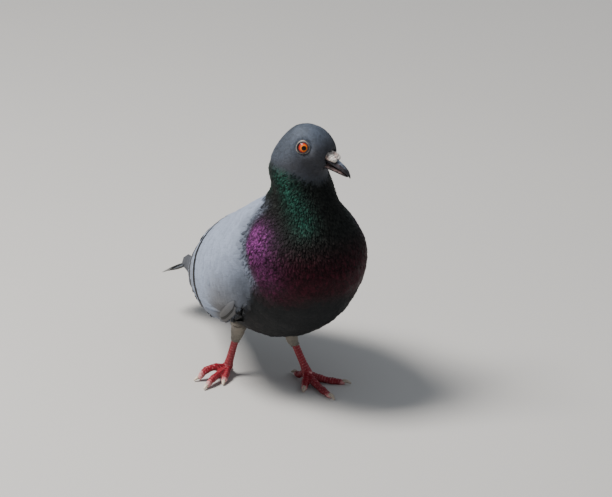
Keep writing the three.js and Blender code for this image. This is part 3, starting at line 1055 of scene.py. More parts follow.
def plumage_tree():
    """Feathers rooted over the skin, lying along it and wrapped to its shape."""
    grow = Growth("Plumage", COAT_INPUTS)
    skin = grow.given
    seed = skin.other("Seed")
    least = 1.0 - skin.other("Ruffle")
    most = skin.other("Ruffle") + 1.0
    vane = grow.node(
        "GeometryNodeObjectInfo", {"transform_space": "ORIGINAL"}, {"Object": skin.other("Vane")}, "Geometry"
    )
    breadth = grow.named("width") * grow.chance(0.88, 1.12, seed + 3) * MM
    reach = grow.named("length") * grow.chance(least, most, seed + 4) * MM
    size = grow.node("ShaderNodeCombineXYZ", None, {"X": breadth, "Y": reach, "Z": 1.0})
    coat = grow.node(
        "GeometryNodeInstanceOnPoints", None,
        {"Points": rooted(grow, skin, least, most), "Instance": vane,
         "Rotation": vane_facing(grow, seed), "Scale": size},
    )
    coat = grow.node("GeometryNodeRealizeInstances", None, {"Geometry": coat})
    coat = mapped(grow, painted(grow, wrapped(grow, coat, skin), skin))
    coat = grow.node("GeometryNodeSetMaterial", None, {"Geometry": coat, "Material": skin.other("Finish")})
    grow.node("NodeGroupOutput", None, {0: coat})
    return grow.nodes


def grown(name, base, tree, **values):
    """The plain mesh that a tree of Geometry Nodes grows on a base object."""
    made = fresh_object(name, base.data.copy())
    modifier = made.modifiers.new("Grow", "NODES")
    modifier.node_group = tree
    for item in tree.interface.items_tree:
        label = item.name.replace(" ", "_")
        if item.item_type == "SOCKET" and item.in_out == "INPUT" and label in values:
            modifier[item.identifier] = values[label]
    return plain(made)


def bar_share(finish, tint, barbs):
    """1 inside a feather's bar, whose edges run a little uneven with the barbs."""
    limits = finish.node("ShaderNodeSeparateXYZ", None, {0: finish.attribute("bar", "Vector")})
    row = finish.attribute("row") + (tint - 0.5) * 1.2 + barbs * 0.15
    past_start = (row - limits).ramp(-0.35, 0.35)
    past_end = (row - limits.other("Y")).ramp(-0.35, 0.35)
    return past_start * (1.0 - past_end) * limits.other("Z")


def feather_finish(name, gloss=0.0, streak=0.1, relief=0.1, shine=0.35):
    """Feathers of their own colour, with a shaft, barbs, a paler edge, painted glints on the glossy ones and
    a black bar where one is set.
    """
    finish = Finish(name, Specular_IOR_Level=shine)
    colour = finish.attribute("plumage", "Color")
    tint = finish.attribute("tint")
    spot = finish.node("ShaderNodeUVMap", {"uv_map": "vane"})
    split = finish.node("ShaderNodeSeparateXYZ", None, {0: spot})
    along = split.other("Y")
    side = abs(split - 0.5) * 2.0
    barbs = (along * 70.0 - side * 22.0 + tint * 30.0).sine()
    shaft = 1.0 - side.ramp(0.03, 0.12)
    edge = along.ramp(0.8, 0.97)
    level = tint * 2.0 * streak + (1.0 - streak) + barbs * (streak * 0.35) - shaft * (streak * 0.8)
    level = level + edge * streak * 0.8
    if gloss:
        sheen = finish.attribute("gloss")
        # painted glints: glossy feathers are brightened by their tint and in random specks, standing for
        # light catching the gloss
        speck = finish.noise(850.0, 2.0).ramp(0.44, 0.64)
        painted_glint = tint**3.0 * 1.6 + speck * 1.25 + 0.12
        level = level * (1.0 - sheen * gloss * 1.5) + painted_glint * (sheen * gloss * 1.5)
    black = solid(bpy.context.scene.pigeon_plumage.bar)
    inside = bar_share(finish, tint, barbs)
    finish.set("Base Color", finish.mix(inside, finish.scaled(colour, level), black))
    if gloss:
        finish.set("Metallic", sheen * (gloss * 0.75))
        finish.set("Roughness", ROUGHNESS - sheen * (0.06 + 0.12 * gloss) + tint * 0.1)
    else:
        finish.set("Roughness", tint * 0.1 + ROUGHNESS)
    finish.relief(barbs * 0.5 + shaft * 1.4, strength=0.5, distance=relief)
    return finish.material


# Each tract's piece: vane, thickness in millimetres, ruffle, gloss, streak, relief in millimetres, slot.
COAT_PIECES = {
    "face": ("short", 0.08, 0.25, 0.0, 0.22, 0.05, "feathers"),
    "head": ("short", 0.1, 0.25, 0.0, 0.22, 0.05, "feathers"),
    "hackle": ("point", 0.16, 0.35, 0.5, 0.6, 0.1, "feathers"),
    "collar": ("point", 0.14, 0.3, 0.5, 0.45, 0.1, "feathers"),
    "breast": ("round", 0.12, 0.25, 0.35, 0.2, 0.08, "feathers"),
    "belly": ("round", 0.12, 0.25, 0.0, 0.12, 0.06, "feathers"),
    "thigh": ("round", 0.12, 0.3, 0.0, 0.1, 0.06, "feathers"),
    "back": ("round", 0.12, 0.18, 0.0, 0.1, 0.06, "feathers"),
    "covert": ("round", 0.1, 0.18, 0.0, 0.11, 0.07, "wing_feathers"),
}


def make_coat(skin):
    """The small feathers of every tract."""
    tree = plumage_tree()
    vanes = {shape: make_vane(shape) for shape in VANE_SHAPES}
    for number, (tract, look) in enumerate(COAT_PIECES.items()):
        shape, thickness, ruffle, gloss, streak, relief, slot = look
        shine = 0.15 if gloss or tract == "belly" else 0.35
        finish = feather_finish(tract.capitalize() + " feathers", gloss, streak, relief=relief, shine=shine)
        piece = grown(
            "feathers_" + tract, skin, tree, Tract=tract, Vane=vanes[shape],
            Spacing=TRACTS[tract][3] * MM, Thickness=thickness * MM, Ruffle=ruffle,
            Seed=11 * number + 3, Finish=finish,
        )
        settle(piece, finish, slot)
    for vane in vanes.values():
        bpy.data.objects.remove(vane)


# ---------------------------------------------------------------- long feathers

# The left wing's lower and upper edge from its wrist to its tip, and how far it bulges between them.
WING_LOW = [
    (44.6, -40, 97), (43.6, -38, 80), (43.5, -30, 66), (45.5, -14, 57), (46.5, 8, 55),
    (44, 30, 56), (37, 54, 56), (26, 76, 55), (15, 93, 56), (8, 102, 60.5),
]
WING_HIGH = [
    (44.6, -40, 97), (41.5, -34, 118), (30, -21, 137.5), (17, -11, 141.5), (9, 11, 130.6),
    (7, 36, 116.4), (6, 57, 101.5), (5, 77, 85.2), (5, 93, 71), (8, 102, 60.5),
]
WING_BULGE = [0, 3.5, 12.5, 19, 21, 18.5, 13, 7, 3, 0]
WING = (WING_LOW, WING_HIGH, WING_BULGE)
HAND = (  # the long feathers past the wing's end, in the same way
    [(34, 46, 60), (33, 54, 55), (27.5, 74, 52), (20.5, 94, 51.5), (15.5, 112, 50.6), (10, 124, 49)],
    [(32, 46, 66), (27, 56, 69), (18.5, 76, 66), (11.5, 95, 64.5), (8, 112, 58), (10, 124, 49)],
    [0, 2.5, 2.5, 2, 1, 0],
)
PRIMARIES = 8
PRIMARY_STEP = 8.5  # how far each primary ends before the next longer one
SECONDARIES = 11
GREATER_COVERTS = 12
LENGTHWISE = unit(np.array([0, 0.9, -0.42]))  # the way the folded wing runs
HALVINGS = 30
# Small feathers over the wing's lower edge: start and end along it, height at each, width, paleness; the
# darkest stands partly for dark feather edges and partly for painted shadow along the edge.
EDGE_FEATHERS = [
    (0.46, 0.8, 0.03, 0.005, 6.5, 0.8),
    (0.22, 0.55, 0.05, 0.008, 7.0, 0.6),
    (0.2, 0.37, 0.09, 0.0, 6.0, 0.85),
    (0.2, 0.335, 0.12, 0.022, 4.8, 0.1),
    (0.19, 0.325, 0.15, 0.045, 4.8, 0.95),
]
# The feathers past the last row of flight feathers: tip row behind the rear bar, count, width, paleness.
END_ROWS = [(61, 4, 8.0, 0.0), (49, 6, 9.5, 0.25), (37, 8, 12.0, 0.55)]
# The innermost feathers, held loosely over the back: height on the wing, tip row, lift and lean.
TERTIALS = [(0.72, 86, 1.0, 0.05), (0.81, 91, 2.0, 0.0), (0.91, 95, 3.2, -0.1)]


def wing_surface(along, across, shell=WING):
    """Places on the left wing's outer side: along from wrist to tip, across from lower to upper edge."""
    along = np.asarray(along, float)
    low, high, bulge = shell
    low = curve_at(low, along)
    high = curve_at(high, along)
    bulge = curve_at([[b] for b in bulge], along)[..., 0]
    chord = high - low
    out = unit(np.cross(chord, LENGTHWISE))
    out = out * np.where(out[..., :1] < 0, -1, 1)
    arch = np.sin(np.pi * np.clip(across, 0, 1) ** 0.85) ** 0.7
    return low + chord * np.asarray(across)[..., None] + out * (np.maximum(bulge, 0) * arch)[..., None]


def wing_row(points):
    """The row of feathers that each place lies in; the rows behind the front bar bend back at the top."""
    x, y, _ = points.T
    return feather_row(points) - BAR_BEND * (1 - ramp(np.abs(x), 2, 29)) * ramp(y, 38, 60)


def tail_row(points):
    """The row of the tail that each place lies in, which is how far back it lies."""
    return points[:, 1]


class Feathers:
    """Long feathers gathered into one closed mesh."""

    SHARES = 1 - (1 - np.linspace(0, 1, 15)) ** 1.4  # rows of places, closer together at the tip
    ROWS = len(SHARES)
    HALVES = np.array([-1.0, -0.66, -0.33, 0.0, 0.33, 0.66, 1.0])
    MARGIN = 0.06  # of each side of a feather in its cell of the bake map

    def __init__(self, row_of, chance, sign=1):
        self.row_of = row_of
        self.chance = chance
        self.sign = sign
        self.points = []
        self.faces = []
        self.spots = []
        self.notes = {"plumage": [], "bar": [], "tint": []}
        self.count = 0

    def lay(self, place, lean=0.09, **look):
        """Adds a feather of the left wing, or its mirror image, its upper edge leaning in a little."""
        flip = np.array([self.sign, 1, 1])
        path, side, out = place
        side = unit(side - out * lean)
        self.add(path * flip, side * flip * self.sign, out * flip, **look)

    def add(self, path, side, up, width, thick, colour, bar=(0.0, 0.0, 0.0), blunt=0.35):
        """A feather along a path of ROWS places; its bar has a first row, a last row and a strength.

        The colour is one for the whole feather, or one for each of its rows of places.
        """
        share = self.SHARES
        half = width / 2 * (0.35 + 0.65 * ramp(share, 0, 0.3))
        half = half * np.sqrt(np.clip(1 - ((share - 1 + blunt) / blunt).clip(0) ** 2.2, 0.0, 1))
        start = sum(len(p) for p in self.points)
        rim = np.abs(self.HALVES)
        flat = path[:, None] + side[:, None] * (half[:, None] * self.HALVES)[..., None]
        droop = -0.06 * half[:, None] * rim[None] ** 2
        grid = np.stack(np.broadcast_arrays(self.HALVES / 2 + 0.5, share[:, None]), -1)
        for bulge in (0.75, -0.25):
            height = thick * (1 - rim**2)[None] * bulge + droop
            self.points.append((flat + up[:, None] * height[..., None]).reshape(-1, 3))
            self.spots.append(grid.reshape(-1, 2))
        columns = len(self.HALVES)
        layer = self.ROWS * columns
        for row in range(self.ROWS - 1):
            for column in range(columns - 1):
                a = start + row * columns + column
                quad = (a, a + 1, a + 1 + columns, a + columns)
                self.faces.append(quad)
                self.faces.append(tuple(k + layer for k in reversed(quad)))
        total = 2 * layer
        by_row = np.broadcast_to(colour, (self.ROWS, 3))
        self.notes["plumage"].append(np.tile(np.repeat(by_row, columns, axis=0), (2, 1)))
        self.notes["bar"].append(np.tile(bar, (total, 1)))
        self.notes["tint"].append(np.tile(self.chance.uniform(0.2, 0.8), (total, 1)))
        self.count += 1

    def mesh_object(self, name):
        """One closed mesh: each feather's two sides, with a cell each on the bake map, merge at its rim."""
        points = np.concatenate(self.points)
        made = mesh_of(name, points, self.faces)
        mesh = made.data
        spots = np.concatenate(self.spots)
        lay_out(mesh, "vane", spots)
        columns = math.ceil(math.sqrt(self.count * 2))
        which = np.arange(len(points)) // (self.ROWS * len(self.HALVES))
        cell = np.stack([which % columns, which // columns], 1)
        lay_out(mesh, "OFBake", (cell + self.MARGIN + (1 - 2 * self.MARGIN) * spots) / columns)
        for key, kind in (("plumage", "FLOAT_COLOR"), ("bar", "FLOAT_VECTOR"), ("tint", "FLOAT")):
            values = np.concatenate(self.notes[key])
            note(mesh, key, values[:, 0] if kind == "FLOAT" else values, kind)
        note(mesh, "row", self.row_of(points))
        welded = bmesh.new()
        welded.from_mesh(mesh)
        bmesh.ops.remove_doubles(welded, verts=welded.verts, dist=2e-6)
        bmesh.ops.dissolve_degenerate(welded, edges=welded.edges, dist=1e-6)
        welded.to_mesh(mesh)
        welded.free()
        mesh.set_sharp_from_angle(angle=math.radians(60))
        return made


def row_place(row, across):
    """How far along the wing a row of feather tips crosses a height, found by halving."""
    low, high = 0.02, 0.98
    for _ in range(HALVINGS):
        middle = (low + high) / 2
        if feather_row(wing_surface(middle, across)) < row:
            low = middle
        else:
            high = middle
    return (low + high) / 2


def laid(along, across, raised, shell=WING):
    """The path, side and upward directions of a left wing feather; raised is its height at each place."""
    path = wing_surface(along, across, shell)
    step = 0.02
    above = wing_surface(along, np.minimum(across + step, 0.99), shell)
    below = wing_surface(along, np.maximum(across - step, 0.005), shell)
    heading = unit(np.gradient(path, axis=0))
    out = unit(np.cross(heading, unit(above - below)))
    out = out * np.where(out[:, :1] < 0, -1, 1)
    side = unit(np.cross(out, heading))
    return path + out * np.asarray(raised)[:, None], side, out


def wing_feather(tip_row, across, length, raised=0.0, lift=0.0):
    """A feather whose tip lies in a row of feather tips, and whose root is its length before that."""
    tip = row_place(tip_row, across)
    root = tip
    reach = wing_surface(tip, across)
    while root > 0.01 and np.linalg.norm(wing_surface(root, across) - reach) < length:
        root -= 0.005
    share = Feathers.SHARES
    height = raised - 1.4 + 1.5 * share**2 + lift * ramp(share, 0.1, 0.6) * (1 - 0.5 * ramp(share, 0.75, 1))
    return laid(root + (tip - root) * share, across + 0 * share, height)


def calmed(place):
    """The same feather with its bends and its twist evened out."""
    path, side, out = place
    share = Feathers.SHARES
    path = np.stack([np.polyval(np.polyfit(share, axis, 2), share) for axis in path.T], 1)
    side = unit(0.25 * side + 0.75 * side.mean(0))
    heading = unit(np.gradient(path, axis=0))
    side = unit(without(side, heading))
    return path, side, unit(without(out, heading) - side * (out * side).sum(1)[:, None])


def lay_hand(hand, paints):
    """The primaries past the wing's end, the longest lowest."""
    share = Feathers.SHARES
    stations = [y for _, y, _ in HAND[1]]
    for k in range(PRIMARIES):
        tip = np.interp(stations[-1] - PRIMARY_STEP * k, stations, np.linspace(0, 1, len(stations)))
        across = 0.2 + 0.07 * k
        place = laid(0.05 + (tip - 0.05) * share, across + 0 * share, -0.5 + 0.12 * k + 0 * share, HAND)
        hand.lay(place, 0.05, width=9.5, thick=0.45, colour=paints["flight"] * (0.42 + 0.05 * k), blunt=0.3)


def lay_end_rows(wing, paints):
    """The rows at the wing's end, which lie under those before them."""
    for behind, count, width, light in END_ROWS:
        for k in range(count):
            across = 0.1 + 0.74 * k / (count - 1)
            light_here = light + (1 - light) * ramp(across, 0.35, 0.85)
            tone = blended(paints["flight"] * 0.6, paints["wing"], light_here)
            place = calmed(wing_feather(REAR_BAR + behind, across, length=42, raised=-0.6 - 0.006 * behind))
            wing.lay(place, width=width, thick=0.4, colour=tone, blunt=0.25)


def lay_barred_rows(wing, paints):
    """The row with the rear bar, the row with the front bar over it, and the innermost feathers."""
    front = (FRONT_BAR, FRONT_BAR + FRONT_BAR_WIDTH, 1.0)
    rear = (REAR_BAR, REAR_BAR + REAR_BAR_WIDTH, 1.0)
    for k in range(SECONDARIES):
        across = 0.07 + 0.085 * k
        tone = blended(paints["flight"], paints["wing"], 0.35 + 0.06 * k)
        place = wing_feather(REAR_BAR + 25 - 0.5 * k, across, length=62, raised=-0.5)
        wing.lay(place, width=14 if k else 9, thick=0.5, colour=tone, bar=rear, blunt=0.2)
    for k in range(GREATER_COVERTS):
        across = 0.06 + 0.079 * k
        place = wing_feather(FRONT_BAR + FRONT_BAR_WIDTH + 2, across, length=34, raised=0.1)
        # the greater coverts take the wing's grey with its painted shade
        tone = shaded_wing_tone(place[0], paints)
        wing.lay(place, width=12 if k else 8, thick=0.4, colour=tone, bar=front, blunt=0.2)
    for across, tip, lift, lean in TERTIALS:
        place = wing_feather(tip, across, length=58, raised=0.3, lift=lift)
        wing.lay(place, lean, width=12, thick=0.5, colour=paints["wing"], bar=rear, blunt=0.25)


def lay_edge(wing, paints):
    """The small feathers over the wing's lower edge, in the wing's grey with its painted shade; the darkest
    is partly a painted shadow under the edge.
    """
    share = Feathers.SHARES
    for k, (start, end, low, high, width, light) in enumerate(EDGE_FEATHERS):
        along = start + (end - start) * share
        place = laid(along, low + (high - low) * share, -0.9 + 0.2 * k + 0.6 * share)
        # painted shade: each takes the wing's shaded grey, darkened by its paleness; the darkest partly
        # stands for the shadow along the edge
        tone = shaded_wing_tone(place[0], paints) * (0.12 + 0.88 * light)
        wing.lay(place, 0.03, width=width, thick=0.25, colour=tone, blunt=0.45)


def make_wings(colours):
    """The wing's greater coverts, secondaries, primaries and the small feathers at its lower edge."""
    finish = feather_finish("Flight feathers", streak=0.1)
    paints = paints_of(colours)
    for name, sign in SIDES.items():
        chance = np.random.default_rng(5 + sign)
        hand = Feathers(wing_row, chance, sign)
        lay_hand(hand, paints)
        settle(hand.mesh_object("feathers_hand_" + name), finish, "flight_feathers", "wing_primaries_" + name)
        wing = Feathers(wing_row, chance, sign)
        lay_end_rows(wing, paints)
        lay_barred_rows(wing, paints)
        lay_edge(wing, paints)
        settle(wing.mesh_object("feathers_wing_" + name), finish, "flight_feathers")


# ---------------------------------------------------------------- eyes

EYE_COLUMNS = 56
EYE_ROWS = 44
HIDDEN_HALF = 20  # millimetres, added to the noted distance on the ball's hidden half
IRIS_RIM = (0.018, 0.003, 0.003, 1)
PUPIL_BLACK = (0.0008, 0.0008, 0.001, 1)
LID_MARGIN = (0.02, 0.012, 0.012, 1)
# The eye ring's section, from the opening outwards and back under it: distance from the axis, and height.
RING_SECTION = [
    (3.42, 3.5), (3.5, 3.72), (3.68, 3.82), (3.92, 3.68), (4.15, 3.38), (4.38, 3.14), (4.6, 3.0), (4.8, 2.8),
    (4.98, 2.5), (5.18, 2.15), (5.36, 1.75), (5.4, 1.2), (4.9, 0.9), (4.35, 1.9), (3.56, 3.1),
]


def spun(centre, axis, section, columns, shape=None):
    """Rings of places round an axis through a centre, one for each pair of distance and height."""
    front = np.array([0, -1.0, 0])
    front = unit(front - axis * (front @ axis))
    top = np.cross(front, axis)
    top = top if top[2] > 0 else -top
    turn = 2 * math.pi * np.arange(columns) / columns
    around = np.cos(turn)[:, None] * front + np.sin(turn)[:, None] * top
    places_round = []
    for row, (distance, height) in enumerate(section):
        spread = distance * (1 if shape is None else shape(turn, row))
        places_round.append(centre + axis * height + around * np.broadcast_to(spread, turn.shape)[:, None])
    return np.concatenate(places_round)


def eye_finish(settings):
    """Pupil, amber ring, red iris and dark rim under a wet gloss."""
    finish = Finish("Eye", Roughness=0.45, Specular_IOR_Level=0.2, Coat_Weight=0.16, Coat_Roughness=0.03)
    reach = finish.attribute("reach")
    iris = settings.iris_width / 2 / MM
    pupil = settings.pupil_width / 2 / MM
    grain = finish.noise(2600.0, 3.0)
    ring = (reach + (grain - 0.5) * 0.5).ramp(pupil + 0.3, pupil + 1.35)
    colour = finish.mix(ring, solid(settings.iris_inner), solid(settings.iris))
    colour = finish.scaled(colour, grain * 1.1 + 0.45)
    rim = reach.ramp(iris - 0.7, iris + 0.05)
    colour = finish.mix(rim, colour, IRIS_RIM)
    hole = 1.0 - reach.ramp(pupil - 0.12, pupil + 0.12)
    finish.set("Base Color", finish.mix(hole, colour, PUPIL_BLACK))
    return finish.material


def lid_finish(settings):
    """Bare skin round the eye, with a dark margin and fine wrinkles."""
    finish = Finish("Eye ring", Roughness=0.6)
    reach = finish.attribute("reach")
    speck = finish.noise(1700.0, 3.0)
    margin = 1.0 - (reach + (speck - 0.5) * 0.4).ramp(3.5, 3.9)
    line_starts = (reach + (speck - 0.5) * 0.6).ramp(4.3, 4.6)
    line_ends = (reach + (speck - 0.5) * 0.4).ramp(4.75, 5.05)
    colour = finish.mix(line_starts * (1.0 - line_ends), solid(settings.lid), solid(settings.lid_line))
    colour = finish.mix(margin, colour, LID_MARGIN)
    finish.set("Base Color", finish.scaled(colour, speck * 0.9 + 0.55))
    finish.relief(speck + (reach * 9.0).sine() * 0.3, strength=0.6, distance=0.2)
    return finish.material


def ring_outline(turn, row):
    """What a ring's distance is multiplied by: cornered and wrinkled outside, a little long inside."""
    outer = max(0.0, min(1.0, (row - 2) / 6)) if row < 12 else 1.0 - (row - 12) / 3
    corners = 0.06 * np.cos(3 * (turn - 1.75)) + 0.015 * np.cos(2 * turn) - 0.045
    wrinkles = 0.008 * np.sin(17 * turn + row) + 0.006 * np.sin(29 * turn + 2 * row)
    return 1 + outer * (corners + wrinkles) - 0.02 * np.cos(2 * turn + math.pi) * (1 - outer)


def eyeball(name, centre, gaze):
    """A closed ball that swells a little in front; its places note their distance from the gaze's line."""
    angles = np.radians(np.linspace(2, 178, EYE_ROWS))
    reach = EYEBALL_RADIUS * (1 + 0.03 * np.cos(np.minimum(np.pi / 2, 1.8 * angles)) ** 2)
    around = spun(centre, gaze, np.stack([reach * np.sin(angles), reach * np.cos(angles)], 1), EYE_COLUMNS)
    points = np.concatenate([[centre + gaze * reach[0]], around, [centre - gaze * reach[-1]]])
    faces = [tuple(k + 1 for k in quad) for quad in ring_quads(len(angles), EYE_COLUMNS)]
    last = len(points) - 1
    steps = [(k, (k + 1) % EYE_COLUMNS) for k in range(EYE_COLUMNS)]
    faces += [(0, 1 + after, 1 + k) for k, after in steps]
    faces += [(last, last - EYE_COLUMNS + k, last - EYE_COLUMNS + after) for k, after in steps]
    ball = mesh_of("eyeball_" + name, turned(points), faces)
    face_outwards(ball)
    offsets = points - centre
    behind = offsets @ gaze < 0
    note(ball.data, "reach", np.linalg.norm(np.cross(offsets, gaze), axis=1) + HIDDEN_HALF * behind)
    return ball


def eye_ring(name, centre, axis):
    """The closed ring of bare skin round an eye."""
    section = np.array(RING_SECTION)
    columns = EYE_COLUMNS
    shell = spun(centre, axis, section, columns, ring_outline)
    ring = mesh_of("eye_ring_" + name, turned(shell), ring_quads(len(section), columns, closed=True))
    face_outwards(ring)
    note(ring.data, "reach", np.repeat(section[:, 0], columns))
    return ring


def make_eyes(settings):
    """Eyeballs, each in a ring of bare skin."""
    wet = eye_finish(settings)
    bare = lid_finish(settings)
    for name, sign in SIDES.items():
        mirror = [sign, 1, 1]
        centre = EYE_CENTRE * mirror
        settle(eyeball(name, centre, unit(GAZE * mirror)), wet, "eye", "eye_" + name)
        settle(eye_ring(name, centre, unit(RING_AXIS * mirror)), bare, "eye")


# ---------------------------------------------------------------- bill and cere

# How far each half of the bill reaches up and down, at distances before the neck's upright line.
BILL_EDGES = {
    "upper": (
        [57, 61, 66, 71, 75, 77],
        [186, 185, 182.4, 179.2, 175.6, 171.5],
        [179.6, 179, 177.1, 174.8, 172.6, 170.8],
    ),
    "lower": (
        [57, 61, 66, 70.5, 74, 76],
        [179.2, 178.6, 176.7, 174.6, 172.4, 171.6],
        [174.6, 174, 172.9, 171.8, 171.2, 171],
    ),
}
NOSTRIL_SLIT = ((3.1, -66.5, 181.0), (1.6, 2.6, 0.7))  # its centre on the left, and its reach
LUMPS_PER_MM = 0.9  # on the cere
LUMP_HEIGHT = 0.42


def horn_finish(settings):
    """Worn dark horn, paler where it is fleshy, with a painted highlight along the ridge, painted shade in
    the nostril slits and along the seam, and its own dark tip.
    """
    horn = Finish("Bill horn", Roughness=0.38)
    grain = horn.noise(500.0, 3.0)
    fine = horn.noise(2200.0, 3.0)
    colour = horn.mix(horn.attribute("flesh"), solid(settings.bill), solid(settings.bill_flesh))
    # painted highlight along the upper half's ridge
    colour = horn.mix(horn.attribute("ridge") * (fine * 0.8 + 0.5), colour, solid(settings.bill_ridge))
    # the dark tip is the horn's own colour; the darkening at the slits and the seam is painted shade
    dark_tip_and_shade = 1.0 - horn.attribute("dark") * 0.88
    worn = grain.ramp(0.4, 0.6) * 1.2 + fine.ramp(0.48, 0.62) * 1.8 + 0.25
    horn.set("Base Color", horn.scaled(colour, worn * dark_tip_and_shade))
    horn.relief(grain + fine * 0.5, strength=0.4, distance=0.12)
    return horn.material


def chalk_finish(settings):
    """Chalky skin with pink showing through, painted paler on its lumps and darker in its pits."""
    chalk = Finish("Cere chalk", Roughness=0.85)
    chalk_and_pit_shade = chalk.noise(700.0, 4.0)
    blush = chalk.noise(260.0).ramp(0.45, 0.7)
    colour = chalk.mix(blush * 0.6, solid(settings.cere), solid(settings.cere_blush))
    # painted shade and highlight: the chalk's colour follows the same noise as its bumps, darker in the pits
    # and paler on the lumps
    chalk.set("Base Color", chalk.scaled(colour, chalk_and_pit_shade.ramp(0.3, 0.62) * 0.6 + 0.4))
    chalk.relief(chalk_and_pit_shade, strength=0.9, distance=0.5)
    return chalk.material


def bill_half(part):
    """One half of the bill, with a painted highlight along the upper half's ridge, its fleshy root, painted
    shade along its seam and in the upper half's nostril slits, and its dark tip.
    """
    piece = refined("bill_horn_" + part, ["bill_" + part], voxel=0.3, rounds=3)
    points = places(piece.data)
    _, y, z = unturned(points).T
    before, high, low = BILL_EDGES[part]
    top = np.interp(-y, before, high)
    bottom = np.interp(-y, before, low)
    rise = (z - bottom) / (top - bottom)
    tip = ramp(-y, 68, 75.5)
    upper = part == "upper"
    # painted shade in the nostril slits, which are also pressed in
    slit = spot_at(on_left(unturned(points)), *NOSTRIL_SLIT) * upper
    # painted shade along the upper half's seam and under the lower half's edge
    seam = (1 - ramp(rise, 0.04, 0.2)) if upper else 0.8 * (1 - ramp(rise, 0.1, 0.35))
    flesh = (1 - tip) * ramp(rise, 0.3, 0.6) * (0.25 if upper else 1)
    # painted highlight along the upper half's ridge
    note(piece.data, "ridge", ramp(rise, 0.7, 0.95) * ramp(-y, 63, 67) * (1 - ramp(-y, 71, 75)) * upper)
    note(piece.data, "flesh", flesh)
    note(piece.data, "dark", np.clip(np.maximum.reduce([tip * 0.9, slit, seam]), 0, 1))
    set_places(piece.data, points - normals(piece.data) * (0.45 * slit + 0.12 * seam * upper)[:, None])
    return piece


def make_bill(settings):
    """Both halves of the bill, paler at its root and below, and the chalky cere over the nostrils."""
    horn = horn_finish(settings)
    for part in BILL_EDGES:
        settle(bill_half(part), horn, "bill", "bill_" + part)
    lobes = refined("cere_lobes", ["cere"], voxel=0.25, rounds=3, grow=0.15)
    points = places(lobes.data)
    lumps = np.array([noise.noise(Vector(place * LUMPS_PER_MM)) for place in points])
    set_places(lobes.data, points + normals(lobes.data) * (LUMP_HEIGHT * lumps)[:, None])
    settle(lobes, chalk_finish(settings), "cere", "cere")


# ---------------------------------------------------------------- feet

TOE_NAMES = ("hind", "inner", "middle", "outer")
ANKLE = 20.0  # a height between the toes' roots and the shanks' tops
ABOVE_LEGS = np.array([0, 0, 60.0])
FOOT_FRONT = np.array([0, -0.45, 0.9])  # the way the scuted side of shank and toes faces
CLAW_PALENESS = {"left": 0.55, "right": 0.95}  # how pale each foot's claws are, the right's paler than the left's


def ends_of(name, near):
    """The two end places of a long node, the one nearer a place first."""
    points = places(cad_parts[name].data)
    order = np.argsort(np.linalg.norm(points - near, axis=1))
    tenth = max(3, len(points) // 10)
    return points[order[:tenth]].mean(0), points[order[-tenth:]].mean(0)


def leg_finish(settings):
    """Red scutes with pale edges."""
    skin = Finish("Leg scales", Roughness=0.48, Specular_IOR_Level=0.4)
    edge = skin.attribute("scute_edge")
    grain = skin.noise(700.0, 3.0)
    red = skin.scaled(solid(settings.leg), grain * 0.9 + 0.5)
    pale = edge * (grain * 1.4)
    skin.set("Base Color", skin.mix(pale.ramp(0.0, 1.0), red, solid(settings.scute_edge)))
    skin.relief(grain, strength=0.4, distance=0.12)
    return skin.material


def claw_finish(settings):
    """Streaked horn, paler by the share noted on each foot's claws."""
    horn = Finish("Claw horn", Roughness=0.4)
    streak = horn.noise(900.0, 3.0)
    colour = horn.mix(horn.attribute("worn"), solid(settings.claw), solid(settings.claw_tip))
    horn.set("Base Color", horn.scaled(colour, streak * 0.6 + 0.7))
    return horn.material


def run_along(points, limbs):
    """How far down its nearest limb each place lies, and how much it belongs to a toe's tip."""
    nearest = np.full(len(points), 1e9)
    run = np.zeros(len(points))
    tip = np.zeros(len(points))
    for start, end in limbs:
        axis = unit(end - start)
        length = np.linalg.norm(end - start)
        distance = np.clip((points - start) @ axis, 0, length)
        off = np.linalg.norm(points - start - distance[:, None] * axis, axis=1)
        run = np.where(off < nearest, distance, run)
        tip = np.where(off < nearest, ramp(length - distance, 3.5, 0) * (start[2] < ANKLE), tip)
        nearest = np.minimum(nearest, off)
    return run, tip


def scaled_foot(side, joint, top, pitch):
    """A shank and its toes as one skin, ringed with scutes on the front and upper side."""
    names = ["shank_" + side] + [f"toe_{toe}_{side}" for toe in TOE_NAMES]
    limbs = [(top, joint)] + [ends_of(name, joint) for name in names[1:]]
    foot = refined("foot_" + side, names, voxel=0.42, rounds=5, grow=0.2)
    points = places(foot.data)
    outward = normals(foot.data)
    run, tip = run_along(points, limbs)
    crest = np.sin(np.pi * (run / pitch % 1)) ** 0.6
    ahead = outward @ FOOT_FRONT
    facing = ramp(ahead, -0.5, 0.1)
    points = points + outward * ((crest - 0.7) * 0.26 * facing - 0.12)[:, None]
    points[:, 2] = np.maximum(points[:, 2], 0.02)
    set_places(foot.data, points)
    flank = 1 - ramp(np.abs(ahead), 0.35, 0.9)
    pale = (1 - ramp(crest, 0.1, 0.5)) * (0.3 + 0.6 * facing) + 0.2 * flank * crest + 0.75 * tip
    note(foot.data, "scute_edge", np.clip(pale, 0, 1))
    return foot, names


def make_feet(settings):
    """Scaled shanks and toes, and the claws."""
    skin = leg_finish(settings)
    horn = claw_finish(settings)
    for side in SIDES:
        top, joint = ends_of("shank_" + side, ABOVE_LEGS)
        foot, names = scaled_foot(side, joint, top, settings.scute_pitch / MM)
        settle(foot, skin, "leg_skin", *names)
        claws = [f"claw_{toe}_{side}" for toe in TOE_NAMES]
        piece = refined("claws_" + side, claws, voxel=0.22, rounds=3, grow=0.15)
        note(piece.data, "worn", np.full(len(piece.data.vertices), CLAW_PALENESS[side]))
        settle(piece, horn, "claw", *claws)


# ---------------------------------------------------------------- tail

TAIL_COVERTS = [(88, 121), (82, 113), (76, 106)]  # where each row starts and ends, along the bird
